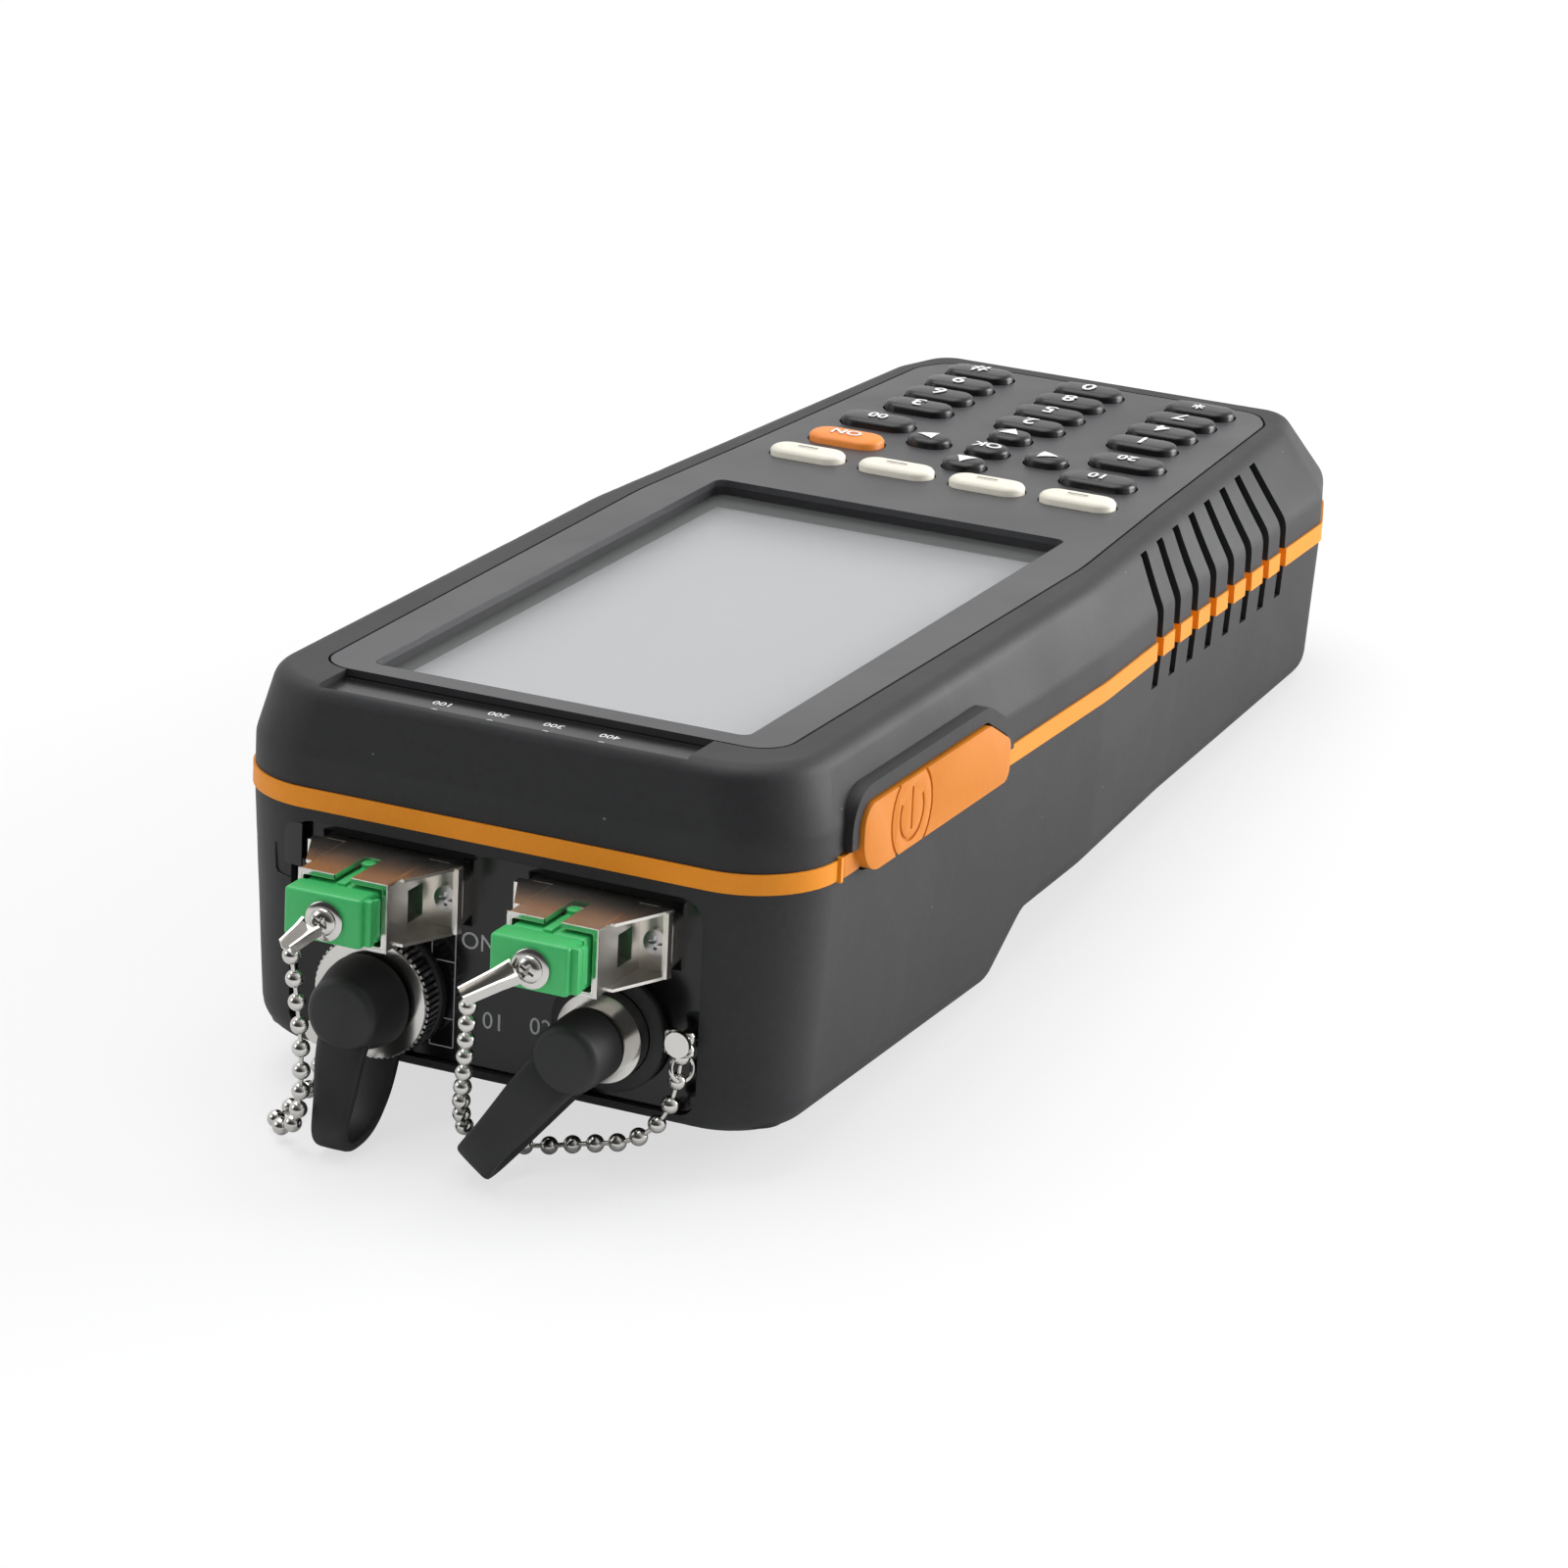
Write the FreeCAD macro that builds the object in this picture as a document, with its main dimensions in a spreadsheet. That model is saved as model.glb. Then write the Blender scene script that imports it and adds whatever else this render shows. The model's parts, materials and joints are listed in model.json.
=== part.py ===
"""Handheld optical time domain reflectometer, lying on its back on a table.

The case is modelled in case axes: X across, Y from the port end to the grip end, Z up out of the
keypad face, with the face at Z = 0. The underside steps up behind the battery, so the case lies
tilted, and every piece of it gets one common placement that lays it on the table at Z = 0.
"""
import FreeCAD, Part
import math
import os
import re
import Sketcher
from FreeCAD import Placement, Rotation, Vector

os.makedirs("parts", exist_ok=True)
doc = FreeCAD.newDocument("handheld_reflectometer")

# ---------------------------------------------------------------- driving sizes, millimetres

DRIVING = {
    # case seen from above: half widths of the widest line, and where along the case they are
    "front_half": 40.9,
    "head_half": 41.4,
    "head_place": 98.0,
    "neck_half": 39.8,
    "neck_place": 130.0,
    "grip_half": 38.6,
    "grip_place": 187.0,
    "tail_half": 33.5,
    "case_length": 201.0,
    # how far the flat face lies inside the widest line, at the same five places
    "front_slope": 2.1,
    "head_slope": 3.0,
    "neck_slope": 4.6,
    "grip_slope": 7.4,
    "tail_slope": 5.5,
    "front_setback": 1.5,
    "neck_setback": 9.0,
    "grip_setback": 1.0,
    "tail_setback": 3.5,
    "corner_front": 12.0,
    "corner_bend": 60.0,
    "corner_grip": 7.0,
    "corner_tail": 5.5,
    # heights
    "crease_drop": 9.0,
    "band_top": 13.2,
    "band_height": 2.7,
    "band_proud": 0.3,
    "band_backing": 1.5,
    "case_depth": 49.5,
    "belly_end": 69.0,
    "ramp_end": 79.0,
    "ramp_depth": 42.4,
    "heel_place": 188.0,
    "heel_depth": 38.2,
    "tail_round": 12.0,
    "tail_inset": 0.3,
    "side_draft": 2.0,
    "top_round": 2.6,
    "crease_round": 4.0,
    "bottom_round": 5.0,
    "wall": 2.2,
    "fit_gap": 0.1,
    # face panel and screen
    "panel_thick": 1.0,
    "panel_margin": 2.6,
    "panel_front": 10.0,
    "panel_front_half": 33.2,
    "panel_head_half": 34.2,
    "panel_head_place": 105.0,
    "panel_neck_half": 31.6,
    "panel_neck_place": 140.0,
    "panel_gap": 0.35,
    "panel_back_margin": 4.0,
    "panel_corner": 5.0,
    "window_half": 27.0,
    "window_near": 14.0,
    "window_length": 102.0,
    "window_corner": 1.5,
    "lens_lap": 2.6,
    "lens_thick": 0.8,
    "screen_width": 67.2,
    "screen_length": 105.5,
    "screen_thick": 2.1,
    "screen_gap": 1.2,
    "light_near": 1.5,
    "light_length": 9.0,
    "light_left": 28.5,
    "light_right": 24.2,
    "light_deep": 1.2,
    "light_first": -12.5,
    "light_pitch": 7.93,
    "light_row": 3.8,
    "light_dia": 1.2,
    # keys
    "key_rise": 1.4,
    "key_gap": 0.25,
    "key_flange": 0.5,
    "flange_thick": 1.0,
    "key_round": 0.9,
    "key_travel": 0.8,
    "dome_gap": 0.3,
    "dome_dia": 4.0,
    "mat_thick": 0.9,
    "mat_half": 27.0,
    "mat_near": 129.0,
    "mat_length": 61.2,
    "wide_key": 11.4,
    "soft_key_deep": 5.2,
    "side_key_deep": 6.0,
    "arrow_key": 6.4,
    "digit_key": 10.6,
    "digit_key_deep": 5.4,
    "soft_row": 133.5,
    "soft_inner": 7.1,
    "soft_outer": 21.2,
    "side_column": 19.9,
    "side_row": 144.0,
    "side_pitch": 11.0,
    "pad_row": 149.8,
    "pad_reach": 8.3,
    "pad_side": 9.3,
    "digit_column": 18.0,
    "digit_row": 165.3,
    "digit_pitch": 7.5,
    # boards and modules inside
    "board_half": 29.0,
    "board_near": 8.0,
    "board_length": 182.0,
    "board_thick": 1.6,
    "board_depth": 6.5,
    "board_corner": 3.0,
    "optics_half": 28.0,
    "optics_near": 66.0,
    "optics_length": 50.0,
    "optics_depth": 36.0,
    "optics_height": 20.0,
    "rib_thick": 2.0,
    "rib_inset": 9.0,
    "battery_half": 29.0,
    "battery_near": 14.2,
    "battery_length": 41.0,
    "battery_height": 20.0,
    "cover_half": 31.4,
    "cover_near": 12.0,
    "cover_length": 50.0,
    "cover_thick": 1.2,
    "cover_ledge": 2.0,
    "cover_screw_ledge": 5.5,
    "cover_corner": 3.0,
    # screws
    "screw_shank": 2.5,
    "screw_head": 4.6,
    "screw_head_thick": 2.0,
    "screw_recess": 4.0,
    "screw_tip": 5.0,
    "boss_dia": 6.0,
    "boss_wide": 7.5,
    "boss_split": 14.5,
    "boss_side": 33.0,
    "boss_near": 8.2,
    "boss_neck": 122.5,
    "boss_tail_side": 24.5,
    "boss_tail": 194.0,
    "cover_screw": 2.0,
    "cover_boss": 5.0,
    "cover_screw_head": 3.8,
    "cover_screw_side": 22.0,
    "cover_screw_long": 8.0,
    "cover_screw_sink": 0.9,
    "cover_screw_head_thick": 0.8,
    # port end
    "plate_margin_left": 10.4,
    "plate_margin_right": 12.4,
    "plate_top": 17.6,
    "plate_bottom": 47.0,
    "plate_corner": 3.0,
    "plate_recess": 1.5,
    "plate_lap": 1.2,
    "plate_flange": 1.2,
    "adapter_inset_left": 14.1,
    "adapter_inset_right": 15.1,
    "adapter_drop": 24.0,
    "adapter_wide": 12.8,
    "adapter_high": 9.2,
    "adapter_wall": 0.7,
    "adapter_reach": 13.2,
    "adapter_rear": 13.0,
    "adapter_flange": 22.0,
    "adapter_flange_thick": 1.4,
    "adapter_slot": 2.4,
    "adapter_slot_long": 8.0,
    "adapter_screw_span": 18.0,
    "adapter_screw": 1.8,
    "adapter_screw_head": 3.4,
    "sleeve_dia": 4.6,
    "ferrule_bore": 2.5,
    "plug_gap": 0.2,
    "plug_head_wide": 12.0,
    "plug_head_high": 6.6,
    "plug_head_deep": 4.2,
    "plug_neck_long": 6.8,
    "right_plug_out": 1.0,
    "lug_dia": 5.3,
    "lug_thick": 0.5,
    "lug_tab": 3.0,
    "lug_tab_reach": 6.0,
    # power meter port
    "meter_inset": 14.1,
    "meter_drop": 38.4,
    "meter_ring_dia": 16.6,
    "meter_ring_long": 4.0,
    "meter_cone": 2.2,
    "meter_barrel": 13.0,
    "port_nose": 7.0,
    "nose_gap": 0.15,
    "meter_cap_dia": 10.8,
    "meter_cap_tip": 9.6,
    "cap_long": 7.3,
    "cap_end": 1.3,
    "meter_cap_start": 4.4,
    "nut_thick": 3.0,
    # visible fault port
    "fault_inset": 12.7,
    "fault_drop": 37.6,
    "fault_flange": 12.0,
    "fault_flange_long": 4.0,
    "fault_sleeve": 9.6,
    "fault_sleeve_long": 2.3,
    "fault_cap_dia": 9.4,
    "fault_cap_start": 5.0,
    "laser_dia": 6.4,
    "laser_long": 12.0,
    # rubber straps
    "strap_wide": 5.8,
    "strap_thick": 1.6,
    "strap_ring_lap": 2.05,
    "fault_strap_tilt": 37.0,
    # chains
    "chain_dia": 2.4,
    "post_inset_right": 1.4,
    "post_drop_right": 36.0,
    "post_inset_left": 6.1,
    "post_drop_left": 44.8,
    "post_reach": 2.4,
    "post_dia": 2.0,
    "post_head": 3.4,
    "post_head_thick": 0.8,
    # side flap
    "flap_sunk": 1.043,
    "flap_thick": 2.6,
    "flap_near": 16.5,
    "flap_shoulder": 55.5,
    "flap_far": 62.5,
    "flap_top": 7.4,
    "flap_far_top": 11.2,
    "flap_bottom": 16.8,
    "flap_gap": 0.4,
    "flap_ridge": 2.4,
    "flap_round": 3.0,
    "flap_low_round": 5.0,
    "flap_far_round": 1.8,
    "neck_thick": 1.6,
    "flap_hinge": 13.8,
    "hinge_proud": -0.35,
    "rib_near": 12.0,
    "rib_long": 0.7,
    "rib_proud": 0.7,
    "usb_place": 28.0,
    "usb_wide": 13.0,
    "usb_high": 5.0,
    "usb_deep": 14.0,
    "usb_wall": 0.4,
    "dc_place": 46.0,
    "dc_wide": 9.0,
    "dc_bore": 4.6,
    "dc_pin": 1.6,
    "dc_wall": 0.6,
    "dc_deep": 12.0,
    "socket_drop": 12.2,
    "socket_sunk": 0.6,
    # grip slots
    "slot_first": 119.8,
    "slot_pitch": 7.2,
    "slot_wide": 2.5,
    "slot_deep": 1.5,
    "slot_band_deep": 0.8,
    "slot_top": 1.0,
    "slot_bottom": 20.3,
}
SLOT_COUNT = 8
LIGHT_COUNT = 4

sheet = doc.addObject("Spreadsheet::Sheet", "Sizes")
for row, (alias, value) in enumerate(DRIVING.items(), start=1):
    sheet.set(f"A{row}", alias)
    sheet.set(f"B{row}", str(value))
    sheet.setAlias(f"B{row}", alias)
doc.recompute()


def mm(alias):
    """One driving size as a number."""
    return float(sheet.get(alias))


def formula(text):
    """An expression in which every driving size is looked up in the sheet."""
    return re.sub(r"[a-z_]+", lambda word: f"Sizes.{word.group(0)}"
                  if word.group(0) in DRIVING else word.group(0), str(text))


# ---------------------------------------------------------------- where the case lies

HEEL_RISE = mm("case_depth") - mm("heel_depth")
LEAN = math.atan(HEEL_RISE / (mm("heel_place") - mm("belly_end")))
LIFT = mm("belly_end") * math.sin(LEAN) + mm("case_depth") * math.cos(LEAN)
PLUG_FRONT = mm("adapter_reach") - mm("plate_recess") + mm("fit_gap") + mm("plug_head_deep")
LUG_FRONT = PLUG_FRONT + mm("right_plug_out") + mm("lug_tab_reach")


def level(y, z):
    """Y and Z of a case point after the case is laid on its heels."""
    return (y * math.cos(LEAN) + z * math.sin(LEAN), -y * math.sin(LEAN) + z * math.cos(LEAN) + LIFT)


FRONT_MOST = level(-LUG_FRONT, -mm("adapter_drop"))[0]
BACK_MOST = level(mm("case_length"), -mm("crease_drop"))[0]
LAID = Placement(Vector(0, -(FRONT_MOST + BACK_MOST) / 2, LIFT),
                 Rotation(Vector(1, 0, 0), -math.degrees(LEAN)))

# ---------------------------------------------------------------- small makers

TURNS = {
    "+Z": Rotation(),
    "-Z": Rotation(Vector(1, 0, 0), 180),
    "+Y": Rotation(Vector(1, 0, 0), -90),
    "-Y": Rotation(Vector(1, 0, 0), 90),
    "+X": Rotation(Vector(0, 1, 0), 90),
    "-X": Rotation(Vector(0, 1, 0), -90),
}
SUBPARTS = []


def subpart(obj, node, laid=True):
    """Registers an object as one node of the model and lays it with the case."""
    obj.Label = node
    SUBPARTS.append((obj, laid))
    return obj


def place(obj, at):
    """Binds an object's position to three formulas."""
    for letter, text in zip("xyz", at):
        obj.setExpression(f"Placement.Base.{letter}", formula(text))


def block(low, high):
    """A box between two corners."""
    box = doc.addObject("Part::Box", "block")
    for size, start, end in zip(("Length", "Width", "Height"), low, high):
        box.setExpression(size, formula(f"({end}) - ({start})"))
    place(box, low)
    return box


def rod(diameter, at, length, along="+Z"):
    """A cylinder that starts at a point."""
    cylinder = doc.addObject("Part::Cylinder", "rod")
    cylinder.Placement = Placement(Vector(), TURNS[along])
    cylinder.setExpression("Radius", formula(f"({diameter}) / 2"))
    cylinder.setExpression("Height", formula(length))
    place(cylinder, at)
    return cylinder


def cone(first, last, at, length, along="+Z"):
    """A cone frustum that starts at a point, given by its two diameters."""
    frustum = doc.addObject("Part::Cone", "cone")
    frustum.Placement = Placement(Vector(), TURNS[along])
    frustum.setExpression("Radius1", formula(f"({first}) / 2"))
    frustum.setExpression("Radius2", formula(f"({last}) / 2"))
    frustum.setExpression("Height", formula(length))
    place(frustum, at)
    return frustum


def fuse(*pieces):
    """One solid out of several."""
    joined = doc.addObject("Part::MultiFuse", "joined")
    joined.Shapes = list(pieces)
    return joined


def cut(base, *tools):
    """A base with tools taken away."""
    result = doc.addObject("Part::Cut", "cut")
    result.Base = base
    result.Tool = tools[0] if len(tools) == 1 else fuse(*tools)
    return result


def group(*pieces):
    """Identical pieces that share a node."""
    together = doc.addObject("Part::Compound", "group")
    together.Links = list(pieces)
    return together


def made(shape):
    """A piece whose shape is worked out in this script."""
    feature = doc.addObject("Part::Feature", "made")
    feature.Shape = shape
    return feature


# ---------------------------------------------------------------- sketched bodies


def new_body():
    """An empty body."""
    return doc.addObject("PartDesign::Body", "body")


def origin_plane(body, role):
    """One of a body's own origin planes."""
    return next(item for item in body.Origin.OriginFeatures if item.Role == role)


def rounded_sketch(body, role, wide, tall, radius, centre, offset):
    """A rounded rectangle about a centre, on an origin plane moved along its normal."""
    sketch = body.newObject("Sketcher::SketchObject", "outline")
    sketch.AttachmentSupport = [(origin_plane(body, role), "")]
    sketch.MapMode = "FlatFace"
    for letter, text in zip("xyz", (*centre, offset)):
        sketch.setExpression(f"AttachmentOffset.Base.{letter}", formula(text))
    a, b, r = 10.0, 8.0, 2.0
    lines = [((-a + r, -b), (a - r, -b)), ((a, -b + r), (a, b - r)),
             ((a - r, b), (-a + r, b)), ((-a, b - r), (-a, -b + r))]
    for start, end in lines:
        sketch.addGeometry(Part.LineSegment(Vector(*start, 0), Vector(*end, 0)), False)
    corners = [(a - r, -b + r, 270), (a - r, b - r, 0), (-a + r, b - r, 90), (-a + r, -b + r, 180)]
    for x, y, first in corners:
        circle = Part.Circle(Vector(x, y, 0), Vector(0, 0, 1), r)
        arc = Part.ArcOfCircle(circle, math.radians(first), math.radians(first + 90))
        sketch.addGeometry(arc, False)
    link = sketch.addConstraint
    from_sketcher = Sketcher.Constraint
    for side in range(4):
        link(from_sketcher("Tangent", side, 2, side + 4, 1))
        link(from_sketcher("Tangent", side + 4, 2, (side + 1) % 4, 1))
    for side in (0, 2):
        link(from_sketcher("Horizontal", side))
        link(from_sketcher("Vertical", side + 1))
    for corner in (5, 6, 7):
        link(from_sketcher("Equal", 4, corner))
    link(from_sketcher("Symmetric", 0, 1, 2, 1, -1, 1))
    round_one = link(from_sketcher("Radius", 4, r))
    across = link(from_sketcher("DistanceX", 3, 1, 1, 1, 2 * a))
    up = link(from_sketcher("DistanceY", 0, 1, 2, 1, 2 * b))
    sketch.setExpression(f"Constraints[{round_one}]", formula(radius))
    sketch.setExpression(f"Constraints[{across}]", formula(wide))
    sketch.setExpression(f"Constraints[{up}]", formula(tall))
    return sketch


def rounded_pad(body, role, wide, tall, radius, centre, offset, thick):
    """A pad of a rounded rectangle; its plane's normal is +Z for XY and -Y for XZ."""
    pad = body.newObject("PartDesign::Pad", "pad")
    pad.Profile = rounded_sketch(body, role, wide, tall, radius, centre, offset)
    pad.setExpression("Length", formula(thick))
    body.Tip = pad
    return pad


def rounded_pocket(body, role, wide, tall, radius, centre, offset, deep):
    """A pocket of a rounded rectangle against its plane's normal."""
    sketch = rounded_sketch(body, role, wide, tall, radius, centre, offset)
    doc.recompute()
    before = body.Shape.Volume
    pocket = body.newObject("PartDesign::Pocket", "pocket")
    pocket.Profile = sketch
    pocket.setExpression("Length", formula(deep))
    body.Tip = pocket
    doc.recompute()
    if body.Shape.Volume >= before:
        raise RuntimeError("a pocket cut nothing")
    return pocket


# ---------------------------------------------------------------- outlines and runs


def rounded_wire(points, radii, inset, to_space):
    """A closed wire through points in a plane, moved inward, each corner rounded by its radius."""
    count = len(points)
    corners = [Vector(*point, 0) for point in points]
    ways = [(corners[(i + 1) % count] - corners[i]).normalize() for i in range(count)]
    starts, middles, ends = [], [], []
    for i in range(count):
        before, after = ways[i - 1], ways[i]
        inward = Vector(-before.y - after.y, before.x + after.x, 0).normalize()
        corner = corners[i] + inward * (inset / inward.dot(Vector(-before.y, before.x, 0)))
        if not radii[i]:
            starts.append(corner)
            middles.append(None)
            ends.append(corner)
            continue
        outward_bend = before.cross(after).z > 0
        radius = radii[i] - inset if outward_bend else radii[i] + inset
        half_turn = math.acos(before.dot(after)) / 2
        side = 1 if outward_bend else -1
        centre = corner + inward * (side * radius / math.cos(half_turn))
        starts.append(corner - before * radius * math.tan(half_turn))
        ends.append(corner + after * radius * math.tan(half_turn))
        middles.append(centre + (corner - centre).normalize() * radius)
    edges = []
    for i in range(count):
        if middles[i] is not None:
            edges.append(Part.Arc(to_space(starts[i]), to_space(middles[i]), to_space(ends[i])).toShape())
        following = starts[(i + 1) % count]
        edges.append(Part.LineSegment(to_space(ends[i]), to_space(following)).toShape())
    return Part.Wire(edges)


def facing(place):
    """Puts an outline drawn as (X, Z) into a plane of constant Y."""
    return lambda point: Vector(point.x, place, point.y)


def at_height(height):
    """Puts an XY outline at a height."""
    return lambda point: Vector(point.x, point.y, height)


def beside(side):
    """Puts an outline drawn as (Y, Z) into a plane of constant X."""
    return lambda point: Vector(side, point.x, point.y)


def both_sides(half):
    """An outline from its right half, which runs from the near end to the far end."""
    return half + [(-x, y) for x, y in reversed(half)]


PLACES = ["front", "head", "neck", "grip", "tail"]
WIDEST = [(mm("front_half"), 0.0), (mm("head_half"), mm("head_place")), (mm("neck_half"), mm("neck_place")),
          (mm("grip_half"), mm("grip_place")), (mm("tail_half"), mm("case_length"))]
SETBACKS = [mm("front_setback"), mm("front_setback"), mm("neck_setback"), mm("grip_setback"),
            -mm("tail_setback")]
FACE = [(x - mm(f"{name}_slope"), y + setback)
        for (x, y), name, setback in zip(WIDEST, PLACES, SETBACKS)]
BELLY = [(x - mm("side_draft"), y) for x, y in WIDEST]
CORNERS = [mm("corner_front"), mm("corner_bend"), mm("corner_bend"), mm("corner_grip"), mm("corner_tail")]
ROUNDS = CORNERS + CORNERS[::-1]
BAND_BOTTOM = mm("band_top") + mm("band_height")


def plan_wire(half, inset, height, rounds=ROUNDS):
    """A wire of the case's plan at a height."""
    return rounded_wire(both_sides(half), rounds, inset, at_height(height))


def plan_prism(half, inset, low, high, rounds=ROUNDS):
    """A slab of the case's plan between two heights."""
    return Part.Face(plan_wire(half, inset, low, rounds)).extrude(Vector(0, 0, high - low))


def half_width(half, y):
    """The outline's half width at a place along the case."""
    for (x_a, y_a), (x_b, y_b) in zip(half, half[1:]):
        if y_a <= y <= y_b:
            return x_a + (x_b - x_a) * (y - y_a) / (y_b - y_a)
    raise ValueError("outside the outline")


def box(x, y, z):
    """A box from three ranges."""
    return Part.makeBox(x[1] - x[0], y[1] - y[0], z[1] - z[0], Vector(x[0], y[0], z[0]))


def pin(diameter, at, way, length):
    """A cylinder from a point along a direction."""
    return Part.makeCylinder(diameter / 2, length, Vector(*at), Vector(*way))


def rounded_hole(centre, size, radius, low, high):
    """An upright rounded box, for a hole in the face."""
    (x, y), (wide, deep) = centre, size
    corners = [(x - wide / 2, y - deep / 2), (x + wide / 2, y - deep / 2),
               (x + wide / 2, y + deep / 2), (x - wide / 2, y + deep / 2)]
    wire = rounded_wire(corners, [radius] * 4, 0.0, at_height(low))
    return Part.Face(wire).extrude(Vector(0, 0, high - low))


def smooth_path(points):
    """A wire of straight runs joined by tangent arcs, and the arcs' radii."""
    vectors = [Vector(*point) for point in points]
    edges, radii, here = [], [], vectors[0]
    for before, corner, after in zip(vectors, vectors[1:], vectors[2:]):
        incoming = (corner - before).normalize()
        outgoing = (after - corner).normalize()
        half_turn = math.acos(incoming.dot(outgoing)) / 2
        reach = 0.45 * min((corner - before).Length, (after - corner).Length)
        radius = reach / math.tan(half_turn)
        start, end = corner - incoming * reach, corner + outgoing * reach
        inward = (outgoing - incoming).normalize()
        centre = corner + inward * (radius / math.cos(half_turn))
        middle = centre - inward * radius
        edges.append(Part.LineSegment(here, start).toShape())
        edges.append(Part.Arc(start, middle, end).toShape())
        radii.append(radius)
        here = end
    edges.append(Part.LineSegment(here, vectors[-1]).toShape())
    return Part.Wire(edges), radii


# ---------------------------------------------------------------- keys

KEY_SIZES = {
    "soft": ("wide_key", "soft_key_deep"),
    "side": ("wide_key", "side_key_deep"),
    "pad": ("arrow_key", "soft_key_deep"),
    "digit": ("digit_key", "digit_key_deep"),
}
# Someone who holds the grip reads along -X, with the screen above the keys.
KEYS = [
    ("key_soft_1", "soft", "soft_outer", "soft_row"),
    ("key_soft_2", "soft", "soft_inner", "soft_row"),
    ("key_soft_3", "soft", "-soft_inner", "soft_row"),
    ("key_soft_4", "soft", "-soft_outer", "soft_row"),
    ("key_power", "side", "-side_column", "side_row"),
    ("key_back", "side", "-side_column", "side_row + side_pitch"),
    ("key_menu", "side", "side_column", "side_row"),
    ("key_start", "side", "side_column", "side_row + side_pitch"),
    ("key_left", "pad", "pad_side", "pad_row"),
    ("key_right", "pad", "-pad_side", "pad_row"),
    ("key_up", "pad", "0", "pad_row - pad_reach"),
    ("key_down", "pad", "0", "pad_row + pad_reach"),
    ("key_enter", "pad", "0", "pad_row"),
]
DIGIT_NAMES = ["1", "2", "3", "4", "5", "6", "7", "8", "9", "star", "0", "hash"]
for index, name in enumerate(DIGIT_NAMES):
    line, column = divmod(index, 3)
    KEYS.append((f"key_{name}", "digit", f"digit_column * {1 - column}", f"digit_row + digit_pitch * {line}"))


def number(text):
    """A formula worked out as a number."""
    return float(sheet.evalExpression(formula(text)))


FLANGE_TOP = "-(wall + fit_gap)"
FLANGE_LOW = "-(wall + fit_gap + flange_thick)"


def make_key(node, kind, x, y):
    """A key cap with the flange that keeps it under the roof."""
    wide, deep = KEY_SIZES[kind]
    body = new_body()
    rounded_pad(body, "XY_Plane", wide, deep, f"{deep} * 0.48", (x, y), FLANGE_LOW,
                "wall + fit_gap + flange_thick + key_rise")
    rounded_pad(body, "XY_Plane", f"{wide} + 2 * key_flange", f"{deep} + 2 * key_flange",
                f"{deep} * 0.48 + key_flange", (x, y), FLANGE_LOW, "flange_thick")
    doc.recompute()
    last, faces = body.Tip, body.Tip.Shape.Faces
    top = max(range(len(faces)), key=lambda i: faces[i].CenterOfMass.z)
    fillet = body.newObject("PartDesign::Fillet", "rounding")
    fillet.Base = (last, [f"Face{top + 1}"])
    fillet.setExpression("Radius", formula("key_round"))
    body.Tip = fillet
    subpart(body, node)


for key in KEYS:
    make_key(*key)


def key_holes(low, high):
    """The holes that the key caps stand in."""
    holes = []
    for _, kind, x, y in KEYS:
        wide, deep = (mm(alias) + 2 * mm("key_gap") for alias in KEY_SIZES[kind])
        holes.append(rounded_hole((number(x), number(y)), (wide, deep), deep * 0.48, low, high))
    return holes


# ---------------------------------------------------------------- where the ports lie

PLATE_LEFT = "(front_half - plate_margin_left)"
PLATE_RIGHT = "(front_half - plate_margin_right)"
ADAPTERS = {"left": f"(adapter_inset_left - {PLATE_LEFT})", "right": f"({PLATE_RIGHT} - adapter_inset_right)"}
METER_SIDE = f"(meter_inset - {PLATE_LEFT})"
FAULT_SIDE = f"({PLATE_RIGHT} - fault_inset)"

# ---------------------------------------------------------------- case shells

UNDER_ROOF = -mm("wall")
WINDOW_FAR = mm("window_near") + mm("window_length")
SCREW_PLACES = [(side * x, y) for side in (-1, 1) for x, y in
                ((mm("boss_side"), mm("boss_near")), (mm("boss_side"), mm("boss_neck")),
                 (mm("boss_tail_side"), mm("boss_tail")))]


def bottom_at(y):
    """Height of the underside at a place along the case."""
    if y <= mm("belly_end"):
        return -mm("case_depth")
    fall = (mm("ramp_depth") - mm("heel_depth")) / (mm("heel_place") - mm("ramp_end"))
    return -mm("ramp_depth") + (y - mm("ramp_end")) * fall


def window_hole(low, high):
    """The opening over the screen."""
    centre = (0.0, (mm("window_near") + WINDOW_FAR) / 2)
    return rounded_hole(centre, (2 * mm("window_half"), mm("window_length")), mm("window_corner"), low, high)


def slotted(shape, deep, low):
    """A shell with the upright grooves cut along both flanks."""
    slots = []
    for index in range(SLOT_COUNT):
        y = mm("slot_first") + index * mm("slot_pitch")
        face = half_width(FACE, max(y, FACE[0][1]))
        widest = half_width(WIDEST, y)
        near_top = face + (widest - face) * mm("slot_top") / mm("crease_drop") - deep
        for side in (-1, 1):
            corners = [(near_top, -mm("slot_top")), (widest - deep, -mm("crease_drop")), (widest - deep, low),
                       (widest + 9, low), (widest + 9, -mm("slot_top"))]
            start = y - mm("slot_wide") / 2
            wire = Part.makePolygon([Vector(side * x, start, z) for x, z in corners + corners[:1]])
            slots.append(Part.Face(wire).extrude(Vector(0, mm("slot_wide"), 0)))
    grooved = shape.cut(slots)
    if any(grooved.common(slot).Volume > 0.001 for slot in slots):
        raise RuntimeError("a groove was left uncut")
    return grooved


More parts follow.
